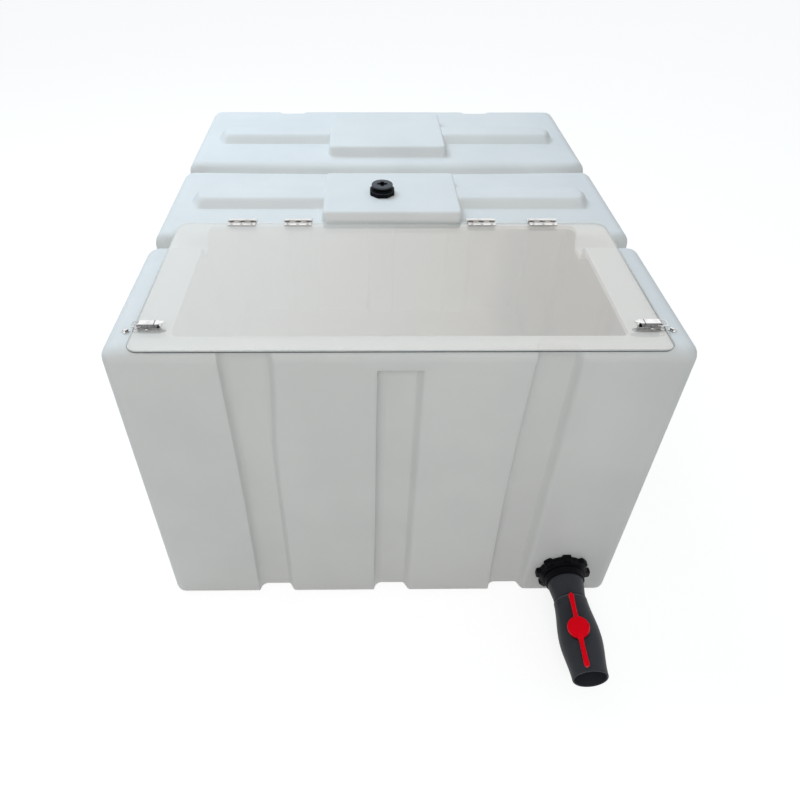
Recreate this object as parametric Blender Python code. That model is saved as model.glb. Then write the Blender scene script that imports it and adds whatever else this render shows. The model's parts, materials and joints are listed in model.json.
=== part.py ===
# Live fish transport tank: a thin-walled moulded tank in three sections, with a clear hinged lid,
# two toggle latches, a plugged vent fitting and a drain with a ball valve.
# Metres, +Z up, front towards -Y. The origin is the middle of the tank's underside.

import math

import bmesh
import bpy

# Clearances
GAP = 0.0003
RUNNING_GAP = 0.0004

# Tank shell
TANK_WIDTH = 1.000
TANK_DEPTH = 1.150
TANK_HEIGHT = 0.715
WALL = 0.008
TOP_EDGE_RADIUS = 0.030
END_EDGE_RADIUS = 0.026
FOOT_EDGE_RADIUS = 0.014
FOOT_END_RADIUS = 0.012

# Ring grooves between the three sections, measured back from the front face
GROOVE_PLACES = (0.368, 0.737)
GROOVE_WIDTH = 0.042
GROOVE_DEPTH = 0.028
GROOVE_DRAFT = 0.0015
GROOVE_EDGE_RADIUS = 0.018
GROOVE_FLOOR_RADIUS = 0.006

# Vertical channels in the front and rear walls
CHANNEL_FROM_SIDE = 0.235
CHANNEL_FLOOR_WIDTH = 0.062
CHANNEL_DEPTH = 0.019
CHANNEL_DRAFT = 0.42
CHANNEL_TOP_RADIUS = 0.018
MIDDLE_CHANNEL_TOP = 0.669
MIDDLE_CHANNEL_END_SLOPE = 0.006
CHANNEL_OVERRUN = 0.020

# Raised pads on the middle and rear sections
PAD_WIDTH = 0.300
PAD_HEIGHT = 0.026
PAD_DRAFT = 0.003
PAD_EDGE_RADIUS = 0.006
PAD_ROOT = 0.030
MIDDLE_PAD_LENGTH = 0.207
REAR_PAD_LENGTH = 0.240
REAR_PAD_SETBACK = 0.044

# Hipped ridges that run out sideways from the pads
RIDGE_HEIGHT = 0.022
RIDGE_SETBACK = 0.054
RIDGE_POINT = 0.018
RIDGE_BASE_WIDTH = 0.080
RIDGE_CREST_WIDTH = 0.058
RIDGE_END_SLOPE = 0.014
MIDDLE_RIDGE_OFFSET = 0.0045
REAR_RIDGE_OFFSET = 0.0
RIDGE_EDGE_RADIUS = 0.005
RIDGE_ROOT = 0.020

# How much of the wall the inside draws in on faces that lie aslant
RIDGE_SIDE_SHARE = 0.7
CHANNEL_SIDE_SHARE = 0.8
PAD_EDGE_SHARE = 0.5

# Hatch in the top, and the clear lid that covers it
HATCH_SETBACK = 0.040
HATCH_LENGTH = 0.388
HATCH_CORNER_RADIUS = 0.012
LATCH_STRIP = 0.020
LID_SIDE_OVERLAP = 0.065
LID_FRONT_OVERLAP = 0.045
LID_REAR_OVERLAP = 0.007
LID_THICKNESS = 0.005
LID_CORNER_RADIUS = 0.022
LID_TO_PAD = 0.003

# Lid hinges
HINGE_PLACES = (-0.318, -0.200, 0.189, 0.319)
HINGE_WIDTH = 0.058
HINGE_LID_LEAF = 0.019
HINGE_TANK_LEAF = 0.0215
LEAF_THICKNESS = 0.0012
LEAF_CORNER_RADIUS = 0.003
LEAF_HOLE_RADIUS = 0.0022
LEAF_HOLE_MARGIN = 0.008
LEAF_STEP_START = 0.0022
LEAF_STEP_END = 0.0036
KNUCKLE_RADIUS = 0.0030
KNUCKLE_COUNT = 5
HINGE_PIN_RADIUS = 0.0013

# Toggle latches on the lid
LATCH_SETBACK = 0.061
LATCH_FROM_LID_EDGE = 0.004
LATCH_PLATE_LENGTH = 0.042
LATCH_PLATE_WIDTH = 0.0135
LATCH_SHEET = 0.0010
LATCH_TAB_RADIUS = 0.0042
LATCH_TAB_REACH = 0.0095
LATCH_TAB_PLACE = 0.021
LATCH_HOLE_RADIUS = 0.0016
EAR_LENGTH = 0.0050
EAR_SPACING = 0.0100
LATCH_PIVOT_PLACE = 0.0060
LATCH_PIN_RADIUS = 0.0011
LEVER_LENGTH = 0.0430
LEVER_FRONT = -0.0008
LEVER_CHEEK_DROP = 0.0039
LEVER_NOSE_RADIUS = 0.0028
LEVER_TIP_WIDTH = 0.0090
LEVER_TIP_LENGTH = 0.0093
LEVER_SHOULDER_LENGTH = 0.0010
LOOP_WIRE_RADIUS = 0.0009
LOOP_PIVOT_BACK = 0.0052
LOOP_PIVOT_DROP = 0.0004
LOOP_REACH = 0.0090
LOOP_BEND = 0.0012
LOOP_CORNER_RADIUS = 0.0036

# Catch plates on the tank beside the lid
CATCH_LENGTH = 0.0125
CATCH_WIDTH = 0.0115
CATCH_HOOK_WIDTH = 0.0065
CATCH_HOOK_HEIGHT = 0.0045
CATCH_HOOK_REACH = 0.0030
CATCH_TURN = math.radians(42)
CATCH_SETBACK = 0.055
CATCH_FROM_LID = 0.0124
CATCH_CORNER_RADIUS = 0.002
CATCH_HOLE_RADIUS = 0.0013
CATCH_HOLE_PLACE = 0.0028
CATCH_HOLE_SPACING = 0.0058

# Drain through the front wall
DRAIN_FROM_SIDE = 0.116
DRAIN_HEIGHT = 0.085
DRAIN_BARREL_RADIUS = 0.0425
DRAIN_SOCKET_RADIUS = 0.0378
DRAIN_BORE_RADIUS = 0.0265
DRAIN_FLANGE_RADIUS = 0.0560
DRAIN_FLANGE_THICKNESS = 0.0080
DRAIN_GASKET_THICKNESS = 0.0030
DRAIN_CHAMFER = 0.0012
DRAIN_NUT_RADIUS = 0.0530
DRAIN_NUT_LUG_REACH = 0.0600
DRAIN_NUT_LUG_WIDTH = 0.0150
DRAIN_NUT_LUGS = 8
DRAIN_NUT_HEIGHT = 0.0180
DRAIN_NUT_SHOULDER = 0.0112
DRAIN_BARREL_STANDOUT = 0.0150
DRAIN_SOCKET_DEPTH = 0.0270
ADAPTER_COLLAR_RADIUS = 0.0387
ADAPTER_NECK_RADIUS = 0.0347
ADAPTER_COLLAR_LENGTH = 0.0046
ADAPTER_TAPER_LENGTH = 0.0300
ADAPTER_LENGTH = 0.0455

# Ball valve
PIPE_RADIUS = 0.0312
PIPE_SOCKET_DEPTH = 0.0270
VALVE_LENGTH = 0.168
VALVE_END_RADIUS = 0.0355
VALVE_BULGE_RADIUS = 0.0432
VALVE_BORE_RADIUS = 0.0255
VALVE_ROLL = math.radians(16)
VALVE_BULGE_STEPS = 12
BALL_PLACE = 0.0870
BALL_RADIUS = 0.0330
BALL_BORE_RADIUS = 0.0250
SEAT_OUTER_RADIUS = 0.0305
SEAT_BACK = 0.0260
STEM_RADIUS = 0.0085
STEM_NECK_RADIUS = 0.0066
STEM_TANG_WIDTH = 0.0060
STEM_TANG_LENGTH = 0.0150
STEM_TANG_DEPTH = 0.0040
VALVE_BOSS_RADIUS = 0.0190
VALVE_BOSS_TOP = 0.0465
VALVE_BOSS_ROOT = 0.0060
VALVE_BOSS_CHAMFER = 0.0010
STEM_SEAL_RADIUS = 0.0011
HANDLE_HUB_RADIUS = 0.0226
HANDLE_THICKNESS = 0.0110
HANDLE_REACH = 0.0800
HANDLE_NECK_WIDTH = 0.0085
HANDLE_TIP_WIDTH = 0.0125
HANDLE_FILLET = 0.0060
HANDLE_FILLET_REACH = 0.0450
HANDLE_SOCKET_DEPTH = 0.0080
HANDLE_EDGE_RADIUS = 0.0018

# Vent fitting and plug on the middle pad
VENT_OFFSET = (-0.020, -0.0115)
VENT_BARREL_RADIUS = 0.0185
VENT_BORE_RADIUS = 0.0132
VENT_FLANGE_RADIUS = 0.0270
VENT_FLANGE_THICKNESS = 0.0050
VENT_GASKET_THICKNESS = 0.0025
VENT_CHAMFER = 0.0010
VENT_NUT_RADIUS = 0.0264
VENT_NUT_COLLAR_RADIUS = 0.0222
VENT_NUT_SHOULDER = 0.0105
VENT_NUT_HEIGHT = 0.0130
VENT_BARREL_STANDOUT = 0.0014
PLUG_SEAL_THICKNESS = 0.0015
PLUG_DISC_RADIUS = 0.0215
PLUG_DISC_THICKNESS = 0.0053
PLUG_CHAMFER = 0.0010
PLUG_STEM_LENGTH = 0.0240
PLUG_RECESS_SPAN = 0.0180
PLUG_RECESS_ARM = 0.0065
PLUG_RECESS_DEPTH = 0.0080

# Steps round the rounded shapes
CORNER_STEPS = 4
FOOT_STEPS = 2
END_STEPS = 4
GROOVE_LIP_STEPS = 3
GROOVE_FLOOR_STEPS = 2
RIM_STEPS = 4
PAD_EDGE_STEPS = 3
RIDGE_EDGE_STEPS = 2
PIPE_STEPS = 28
STEM_STEPS = 16
SMALL_STEPS = 8

# Places that follow from the sizes above
HOLE_REACH = 3 * WALL
CHANNEL_SPACING = TANK_WIDTH / 2 - CHANNEL_FROM_SIDE
RIDGE_REACH = TANK_WIDTH / 2 - RIDGE_SETBACK
LATCH_PIVOT_HEIGHT = LATCH_SHEET + GAP + LEVER_CHEEK_DROP
LEVER_INNER = EAR_SPACING / 2 + RUNNING_GAP
LEVER_OUTER = LEVER_INNER + LATCH_SHEET
LEVER_TOP = EAR_LENGTH / 2 + RUNNING_GAP + LATCH_SHEET
FRONT = -TANK_DEPTH / 2
LID_BOTTOM = TANK_HEIGHT + GAP
LID_TOP = LID_BOTTOM + LID_THICKNESS
LID_HALF_WIDTH = TANK_WIDTH / 2 - TOP_EDGE_RADIUS - LATCH_STRIP
HATCH_HALF_WIDTH = LID_HALF_WIDTH - LID_SIDE_OVERLAP
HATCH_FRONT = FRONT + HATCH_SETBACK
HATCH_REAR = HATCH_FRONT + HATCH_LENGTH
LID_FRONT = HATCH_FRONT - LID_FRONT_OVERLAP
LID_REAR = HATCH_REAR + LID_REAR_OVERLAP
HINGE_AXIS_Y = LID_REAR + KNUCKLE_RADIUS - LEAF_THICKNESS / 2
HINGE_AXIS_Z = LID_TOP + GAP + KNUCKLE_RADIUS
MIDDLE_PAD_FRONT = LID_REAR + LID_TO_PAD
MIDDLE_PAD_CENTRE = MIDDLE_PAD_FRONT + MIDDLE_PAD_LENGTH / 2
REAR_PAD_CENTRE = FRONT + GROOVE_PLACES[1] + GROOVE_WIDTH / 2 + REAR_PAD_SETBACK + REAR_PAD_LENGTH / 2
PAD_TOP = TANK_HEIGHT + PAD_HEIGHT
DRAIN_X = TANK_WIDTH / 2 - DRAIN_FROM_SIDE
VENT_X = VENT_OFFSET[0]
VENT_Y = MIDDLE_PAD_CENTRE + VENT_OFFSET[1]
DRAIN_BARREL_TOP = GAP + DRAIN_NUT_HEIGHT + DRAIN_BARREL_STANDOUT
VALVE_START = DRAIN_BARREL_TOP + GAP + ADAPTER_LENGTH + GAP


# Mesh helpers

def start_empty_scene():
    for old in list(bpy.data.objects):
        bpy.data.objects.remove(old, do_unlink=True)


def make_material(name, colour, roughness, metallic=0.0, alpha=1.0):
    material = bpy.data.materials.new(name)
    material.use_nodes = True
    shader = material.node_tree.nodes["Principled BSDF"]
    shader.inputs["Base Color"].default_value = (*colour, 1.0)
    shader.inputs["Roughness"].default_value = roughness
    shader.inputs["Metallic"].default_value = metallic
    shader.inputs["Alpha"].default_value = alpha
    return material


def add_object(name, bm, material=None, parent=None, location=(0, 0, 0), rotation=(0, 0, 0)):
    bmesh.ops.recalc_face_normals(bm, faces=bm.faces)
    mesh = bpy.data.meshes.new(name)
    bm.to_mesh(mesh)
    bm.free()
    obj = bpy.data.objects.new(name, mesh)
    bpy.context.collection.objects.link(obj)
    obj.location = location
    obj.rotation_euler = rotation
    obj.parent = parent
    if material:
        mesh.materials.append(material)
    mesh.shade_smooth()
    mesh.set_sharp_from_angle(angle=math.radians(35))
    return obj


def add_axis(name, parent=None, location=(0, 0, 0), rotation=(0, 0, 0)):
    empty = bpy.data.objects.new(name, None)
    bpy.context.collection.objects.link(empty)
    empty.location = location
    empty.rotation_euler = rotation
    empty.parent = parent
    return empty


def as_tool(obj):
    obj.hide_render = True
    obj.display_type = 'WIRE'
    return obj


def apply_tool(obj, tool, operation):
    as_tool(tool)
    modifier = obj.modifiers.new(tool.name, 'BOOLEAN')
    modifier.operation = operation
    modifier.solver = 'EXACT'
    modifier.object = tool


def cut(obj, tool):
    apply_tool(obj, tool, 'DIFFERENCE')


def join(obj, tool):
    apply_tool(obj, tool, 'UNION')


def round_edges(obj, radius, segments, angle=50):
    modifier = obj.modifiers.new("rounded_edges", 'BEVEL')
    modifier.width = radius
    modifier.segments = segments
    modifier.limit_method = 'ANGLE'
    modifier.angle_limit = math.radians(angle)
    modifier.use_clamp_overlap = True


def loft(rings, closed=True):
    """Skin a list of equal rings of points, with a flat cap on each end."""
    bm = bmesh.new()
    rows = [[bm.verts.new(point) for point in ring] for ring in rings]
    count = len(rows[0])
    for row, following in zip(rows, rows[1:]):
        for i in range(count):
            j = (i + 1) % count
            bm.faces.new((row[i], following[i], following[j], row[j]))
    if closed:
        bm.faces.new(rows[0])
        bm.faces.new(list(reversed(rows[-1])))
    return bm


def turned(profile, segments):
    """Turn a closed outline of (radius, height) points about Z. Points at radius zero close on the axis."""
    bm = bmesh.new()
    rows = []
    for radius, height in profile:
        if radius < 1e-7:
            rows.append([bm.verts.new((0, 0, height))] * segments)
            continue
        ring = []
        for i in range(segments):
            angle = 2 * math.pi * i / segments
            ring.append(bm.verts.new((radius * math.cos(angle), radius * math.sin(angle), height)))
        rows.append(ring)
    for row, following in zip(rows, rows[1:] + rows[:1]):
        if row[0] is row[1] and following[0] is following[1]:
            continue
        for i in range(segments):
            j = (i + 1) % segments
            corners = []
            for corner in (row[i], row[j], following[j], following[i]):
                if corner not in corners:
                    corners.append(corner)
            bm.faces.new(corners)
    return bm


def ring_profile(inner, outer, low, high):
    return [(inner, low), (outer, low), (outer, high), (inner, high)]


def slab(outline, low, high):
    """Raise a flat outline of (x, y) points from one height to another."""
    return loft([[(x, y, low) for x, y in outline], [(x, y, high) for x, y in outline]])


def box(low, high):
    (x0, y0, z0), (x1, y1, z1) = low, high
    return slab([(x0, y0), (x1, y0), (x1, y1), (x0, y1)], z0, z1)


def arc(centre, radius, start, end, steps):
    """Points of an arc, angles in degrees, both ends included."""
    points = []
    for i in range(steps + 1):
        angle = math.radians(start + (end - start) * i / steps)
        points.append((centre[0] + radius * math.cos(angle), centre[1] + radius * math.sin(angle)))
    return points


def rounded_rectangle(x0, x1, y0, y1, radius, steps):
    return (arc((x0 + radius, y0 + radius), radius, 180, 270, steps)
            + arc((x1 - radius, y0 + radius), radius, 270, 360, steps)
            + arc((x1 - radius, y1 - radius), radius, 0, 90, steps)
            + arc((x0 + radius, y1 - radius), radius, 90, 180, steps))


def disc_outline(centre, radius, steps):
    return arc(centre, radius, 0, 360, steps)[:-1]


# Tank shell

def steps_for(wall, full):
    """The hidden inside of the tank is rounded with half as many steps as its outside."""
    return full if wall == 0 else (full + 1) // 2


def body_outline(wall, groove):
    """Cross-section of the tank with the wall and the groove taken off its outside."""
    corner_steps = steps_for(wall, CORNER_STEPS)
    foot_steps = steps_for(wall, FOOT_STEPS)
    half = TANK_WIDTH / 2 - wall - groove
    top = TANK_HEIGHT - wall - groove
    corner = TOP_EDGE_RADIUS - wall
    foot = FOOT_EDGE_RADIUS - wall
    return (arc((-half + foot, wall + foot), foot, 180, 270, foot_steps)
            + arc((half - foot, wall + foot), foot, 270, 360, foot_steps)
            + arc((half - corner, top - corner), corner, 0, 90, corner_steps)
            + arc((-half + corner, top - corner), corner, 90, 180, corner_steps))


def outline_directions(wall):
    """Outward direction and end radius at each point of the cross-section."""
    foot_steps = steps_for(wall, FOOT_STEPS)
    corner_steps = steps_for(wall, CORNER_STEPS)
    foot_angles = [90 * i / foot_steps for i in range(foot_steps + 1)]
    corner_angles = [90 * i / corner_steps for i in range(corner_steps + 1)]
    headings = ([180 + a for a in foot_angles] + [270 + a for a in foot_angles]
                + corner_angles + [90 + a for a in corner_angles])
    found = []
    for heading in headings:
        x = math.cos(math.radians(heading))
        z = math.sin(math.radians(heading))
        under = max(0.0, -z)
        found.append((x, z, END_EDGE_RADIUS * (1 - under) + FOOT_END_RADIUS * under))
    return found


def end_ring(wall, face, inward, turn):
    """Ring of points on the rounding between an end face (turn 0) and the long sides (turn 90 degrees)."""
    ring = []
    for (x, z), (dx, dz, radius) in zip(body_outline(wall, 0.0), outline_directions(wall)):
        reach = radius - wall
        back = reach * (1 - math.sin(turn))
        along = reach * (1 - math.cos(turn))
        ring.append((x - dx * back, face + inward * along, z - dz * back))
    return ring


def groove_stations(centre, wall):
    """Pairs of place and depth along one ring groove, front to rear."""
    side = GROOVE_WIDTH / 2 + wall
    lip = GROOVE_EDGE_RADIUS - wall
    floor = GROOVE_FLOOR_RADIUS + wall
    lip_steps = steps_for(wall, GROOVE_LIP_STEPS)
    floor_steps = steps_for(wall, GROOVE_FLOOR_STEPS)
    half = []
    for i in range(lip_steps + 1):
        turn = math.radians(90 * (1 - i / lip_steps))
        half.append((-side - lip * (1 - math.cos(turn)), lip * (1 - math.sin(turn))))
    for i in range(floor_steps + 1):
        turn = math.radians(90 * i / floor_steps)
        y = -side + GROOVE_DRAFT + floor * (1 - math.cos(turn))
        half.append((y, GROOVE_DEPTH - floor * (1 - math.sin(turn))))
    stations = [(centre + y, depth) for y, depth in half]
    stations += [(centre - y, depth) for y, depth in reversed(half)]
    return stations


def body_loft(wall):
    front_face = FRONT + wall
    rear_face = -FRONT - wall
    end_steps = steps_for(wall, END_STEPS)
    turns = [math.radians(90 * i / end_steps) for i in range(end_steps + 1)]
    rings = [end_ring(wall, front_face, 1, turn) for turn in turns]
    for place in GROOVE_PLACES:
        for y, depth in groove_stations(FRONT + place, wall):
            rings.append([(x, y, z) for x, z in body_outline(wall, depth)])
    rings += [end_ring(wall, rear_face, -1, turn) for turn in reversed(turns)]
    return loft(rings)


def pad_block(name, centre, length, wall):
    """Raised pad with drafted sides. It runs down into the body so that the two become one."""
    root = TANK_HEIGHT - PAD_ROOT - wall
    top = PAD_TOP - wall
    rings = []
    for z in (root, top):
        spread = PAD_DRAFT * (PAD_TOP - wall - z) / PAD_HEIGHT - PAD_DRAFT - wall
        half_x = PAD_WIDTH / 2 + spread
        half_y = length / 2 + spread
        rings.append([(-half_x, centre - half_y, z), (half_x, centre - half_y, z),
                      (half_x, centre + half_y, z), (-half_x, centre + half_y, z)])
    pad = add_object(name, loft(rings))
    round_edges(pad, PAD_EDGE_RADIUS - wall * PAD_EDGE_SHARE, steps_for(wall, PAD_EDGE_STEPS))
    return pad


def ridge_block(name, centre, wall):
    """Long hipped ridge with a pointed end on each side."""
    root = TANK_HEIGHT - RIDGE_ROOT - wall
    crest = TANK_HEIGHT + RIDGE_HEIGHT - wall
    side_slope = (RIDGE_BASE_WIDTH - RIDGE_CREST_WIDTH) / 2 / RIDGE_HEIGHT
    end_slope = RIDGE_END_SLOPE / RIDGE_HEIGHT
    rings = []
    for z in (root, crest):
        drop = crest - z
        half = RIDGE_CREST_WIDTH / 2 + side_slope * drop - wall * RIDGE_SIDE_SHARE
        tip = RIDGE_REACH - RIDGE_END_SLOPE + end_slope * drop - wall
        shoulder = tip - RIDGE_POINT
        rings.append([(-tip, centre, z), (-shoulder, centre - half, z), (shoulder, centre - half, z),
                      (tip, centre, z), (shoulder, centre + half, z), (-shoulder, centre + half, z)])
    ridge = add_object(name, loft(rings))
    round_edges(ridge, RIDGE_EDGE_RADIUS, steps_for(wall, RIDGE_EDGE_STEPS), angle=20)
    return ridge


def channel_tool(name, x, end, wall, runs_out):
    """Drafted upright channel. One that runs out at the top carries on round the rim of the tank."""
    out = CHANNEL_OVERRUN
    floor = CHANNEL_DEPTH + wall
    if runs_out:
        radius = CHANNEL_TOP_RADIUS - wall
        centre = (floor + radius, TANK_HEIGHT - wall - radius + GAP / 2)
        rim = [(2 * centre[0] - y, z) for y, z in arc(centre, radius, 0, 90, steps_for(wall, RIM_STEPS))]
        side = [(-out, -out), (floor, -out)] + rim + [(rim[-1][0], TANK_HEIGHT + out), (-out, TANK_HEIGHT + out)]
    else:
        top = MIDDLE_CHANNEL_TOP + wall
        lift = MIDDLE_CHANNEL_END_SLOPE * out / CHANNEL_DEPTH
        side = [(-out, -out), (floor, -out), (floor, top - MIDDLE_CHANNEL_END_SLOPE), (-out, top + lift)]
    rings = []
    for sign in (-1, 1):
        ring = []
        for y, z in side:
            half = CHANNEL_FLOOR_WIDTH / 2 + wall * CHANNEL_SIDE_SHARE + CHANNEL_DRAFT * (floor - y)
            ring.append((x + sign * half, end * (TANK_DEPTH / 2 - y), z))
        rings.append(ring)
    return add_object(name, loft(rings))


def tank_form(name, material, wall):
    """The tank's whole outside shape, or with a wall the same shape drawn in by that wall."""
    form = add_object(name, body_loft(wall), material)
    join(form, pad_block(name + "_middle_pad", MIDDLE_PAD_CENTRE, MIDDLE_PAD_LENGTH, wall))
    join(form, pad_block(name + "_rear_pad", REAR_PAD_CENTRE, REAR_PAD_LENGTH, wall))
    join(form, ridge_block(name + "_middle_ridge", MIDDLE_PAD_CENTRE + MIDDLE_RIDGE_OFFSET, wall))
    join(form, ridge_block(name + "_rear_ridge", REAR_PAD_CENTRE + REAR_RIDGE_OFFSET, wall))
    for end, side in ((-1, "front"), (1, "rear")):
        for place in (-1, 0, 1):
            tool_name = f"{name}_{side}_channel_{place + 2}"
            cut(form, channel_tool(tool_name, place * CHANNEL_SPACING, end, wall, place != 0))
    return form


def hatch_tool():
    outline = rounded_rectangle(-HATCH_HALF_WIDTH, HATCH_HALF_WIDTH, HATCH_FRONT, HATCH_REAR,
                                HATCH_CORNER_RADIUS, 3)
    return add_object("hatch_tool", slab(outline, TANK_HEIGHT - GROOVE_DEPTH - HOLE_REACH, TANK_HEIGHT + WALL))


def wall_hole(barrel_radius):
    """Tool that opens the wall for a fitting's barrel."""
    radius = barrel_radius + 2 * RUNNING_GAP
    return turned([(0, -HOLE_REACH), (radius, -HOLE_REACH), (radius, WALL), (0, WALL)], PIPE_STEPS)


def build_tank():
    white = make_material("tank_white", (0.80, 0.83, 0.85), 0.45)
    shell = tank_form("tank_shell", white, 0.0)
    cut(shell, tank_form("inner_form", None, WALL))
    cut(shell, hatch_tool())
    cut(shell, add_object("drain_hole_tool", wall_hole(DRAIN_BARREL_RADIUS), None, None,
                          (DRAIN_X, FRONT, DRAIN_HEIGHT), (math.radians(90), 0, 0)))
    cut(shell, add_object("vent_hole_tool", wall_hole(VENT_BARREL_RADIUS), None, None, (VENT_X, VENT_Y, PAD_TOP)))


# Lid

def build_lid(axis):
    clear = make_material("clear_acrylic", (0.86, 0.90, 0.89), 0.03, alpha=0.3)
    outline = rounded_rectangle(-LID_HALF_WIDTH, LID_HALF_WIDTH, LID_FRONT - HINGE_AXIS_Y,
                                LID_REAR - HINGE_AXIS_Y, LID_CORNER_RADIUS, 5)
    low = LID_BOTTOM - HINGE_AXIS_Z
    add_object("lid_panel", slab(outline, low, low + LID_THICKNESS), clear, axis)


# Hinges, modelled about their own pin: +X along the pin, +Y to the rear

def knuckle_spans(first):
    """Ends of every second knuckle, starting from the first or the second."""
    pitch = HINGE_WIDTH / KNUCKLE_COUNT
    spans = []
    for i in range(first, KNUCKLE_COUNT, 2):
        low = -HINGE_WIDTH / 2 + pitch * i + (GAP / 2 if i else 0)
        high = -HINGE_WIDTH / 2 + pitch * (i + 1) - (GAP / 2 if i < KNUCKLE_COUNT - 1 else 0)
        spans.append((low, high))
    return spans


def leaf_section(reach, drop):
    """Outline across one leaf and its knuckle, as (y, z). The leaf lies flat at the end of its reach."""
    under = -KNUCKLE_RADIUS
    over = under + LEAF_THICKNESS
    meet = math.degrees(math.asin(-over / KNUCKLE_RADIUS))
    knuckle = arc((0, 0), KNUCKLE_RADIUS, -meet, 270, SMALL_STEPS)
    if drop == 0:
        return knuckle + [(reach, under), (reach, over)]
    return knuckle + [(LEAF_STEP_START, under), (LEAF_STEP_END, under - drop), (reach, under - drop),
                      (reach, over - drop), (LEAF_STEP_END + LEAF_THICKNESS, over - drop),
                      (LEAF_STEP_START + LEAF_THICKNESS, over)]


def build_leaf(name, material, parent, place, reach, drop, direction, first):
    """One leaf: a flat plate with a rolled knuckle strip, notched where the other leaf's knuckles turn."""
    section = [(direction * y, z) for y, z in leaf_section(reach, drop)]
    rings = [[(x, y, z) for y, z in section] for x in (-HINGE_WIDTH / 2, HINGE_WIDTH / 2)]
    leaf = add_object(name, loft(rings), material, parent, (place, 0, 0))
    for number, (low, high) in enumerate(knuckle_spans(1 - first)):
        inner = KNUCKLE_RADIUS + 2 * RUNNING_GAP
        left = low - GAP / 2 if low > -HINGE_WIDTH / 2 + GAP else low - KNUCKLE_RADIUS
        right = high + GAP / 2 if high < HINGE_WIDTH / 2 - GAP else high + KNUCKLE_RADIUS
        notch = add_object(f"{name}_notch_{number}", box((left, -inner, -inner), (right, inner, inner)),
                           None, parent, (place, 0, 0))
        cut(leaf, notch)
    bore = turned([(0, -HINGE_WIDTH), (HINGE_PIN_RADIUS + GAP, -HINGE_WIDTH),
                   (HINGE_PIN_RADIUS + GAP, HINGE_WIDTH), (0, HINGE_WIDTH)], SMALL_STEPS)
    cut(leaf, add_object(name + "_bore_tool", bore, None, parent, (place, 0, 0), (0, math.radians(90), 0)))
    for number in (-1, 0, 1):
        x = number * (HINGE_WIDTH / 2 - LEAF_HOLE_MARGIN)
        y = direction * (reach - LEAF_HOLE_MARGIN + LEAF_CORNER_RADIUS / 2)
        hole = slab(disc_outline((x, y), LEAF_HOLE_RADIUS, SMALL_STEPS), -4 * KNUCKLE_RADIUS, 0)
        cut(leaf, add_object(f"{name}_hole_{number + 2}", hole, None, parent, (place, 0, 0)))
    return leaf


def build_hinges(lid_axis, tank_axis):
    steel = make_material("hinge_steel", (0.72, 0.71, 0.69), 0.25, 1.0)
    drop = LID_THICKNESS + GAP
    for number, place in enumerate(HINGE_PLACES, start=1):
        build_leaf(f"hinge_{number}_lid_leaf", steel, lid_axis, place, HINGE_LID_LEAF, 0, -1, 1)
        build_leaf(f"hinge_{number}_tank_leaf", steel, tank_axis, place, HINGE_TANK_LEAF, drop, 1, 0)
        half = HINGE_WIDTH / 2
        pin = turned([(0, -half), (HINGE_PIN_RADIUS, -half), (HINGE_PIN_RADIUS, half), (0, half)], SMALL_STEPS)
        add_object(f"hinge_{number}_pin", pin, steel, tank_axis, (place, 0, 0), (0, math.radians(90), 0))


# Toggle latches, modelled about the lever's pivot: +X towards the catch, +Y across, +Z up

def plate_outline():
    """Latch base plate seen from above, with a screw tab on each long side."""
    half = LATCH_PLATE_WIDTH / 2
    front = LATCH_PIVOT_PLACE
    back = front - LATCH_PLATE_LENGTH
    middle = front - LATCH_TAB_PLACE
    tab = LATCH_TAB_RADIUS
    reach = LATCH_TAB_REACH
    tip_front = arc((middle, -reach), tab, 180, 360, 8)
    tip_rear = arc((middle, reach), tab, 0, 180, 8)
    return ([(back, -half), (middle - tab, -half)] + tip_front + [(middle + tab, -half), (front, -half),
            (front, half), (middle + tab, half)] + tip_rear + [(middle - tab, half), (back, half)])


def build_latch_base(side, steel, parent):
    floor = -LATCH_PIVOT_HEIGHT
    base = add_object(f"latch_{side}_base", slab(plate_outline(), floor, floor + LATCH_SHEET), steel, parent)
    for sign in (-1, 1):
        outer = sign * EAR_SPACING / 2
        inner = outer - sign * LATCH_SHEET
        half = EAR_LENGTH / 2
        upright = [(-half, floor + LATCH_SHEET / 2), (half, floor + LATCH_SHEET / 2)]
        upright += arc((0, 0), half, 0, 180, 6)
        rings = [[(x, y, z) for x, z in upright] for y in sorted((outer, inner))]
        join(base, add_object(f"latch_{side}_ear_{sign + 2}", loft(rings), None, parent))
        hole = slab(disc_outline((LATCH_PIVOT_PLACE - LATCH_TAB_PLACE, sign * LATCH_TAB_REACH),
                                 LATCH_HOLE_RADIUS, SMALL_STEPS), floor - LATCH_SHEET, 0)
        cut(base, add_object(f"latch_{side}_hole_{sign + 2}", hole, None, parent))
    bore = pin_shape(LATCH_PIN_RADIUS + GAP, EAR_SPACING)
    cut(base, add_object(f"latch_{side}_ear_bore", bore, None, parent, (0, 0, 0), (math.radians(90), 0, 0)))


def pin_shape(radius, half_length, steps=SMALL_STEPS):
    return turned([(0, -half_length), (radius, -half_length), (radius, half_length), (0, half_length)], steps)


def lever_cover():
    """Lever cover seen from above: full width over the base, then a narrower finger tip."""
    back = LEVER_FRONT - LEVER_LENGTH
    waist = back + LEVER_TIP_LENGTH
    tip = LEVER_TIP_WIDTH / 2
    neck = waist - LEVER_SHOULDER_LENGTH
    return ([(waist, -LEVER_OUTER), (LEVER_FRONT, -LEVER_OUTER), (LEVER_FRONT, LEVER_OUTER), (waist, LEVER_OUTER),
             (neck, tip)] + arc((back + tip, 0), tip, 90, 270, 6) + [(neck, -tip)])


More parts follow.
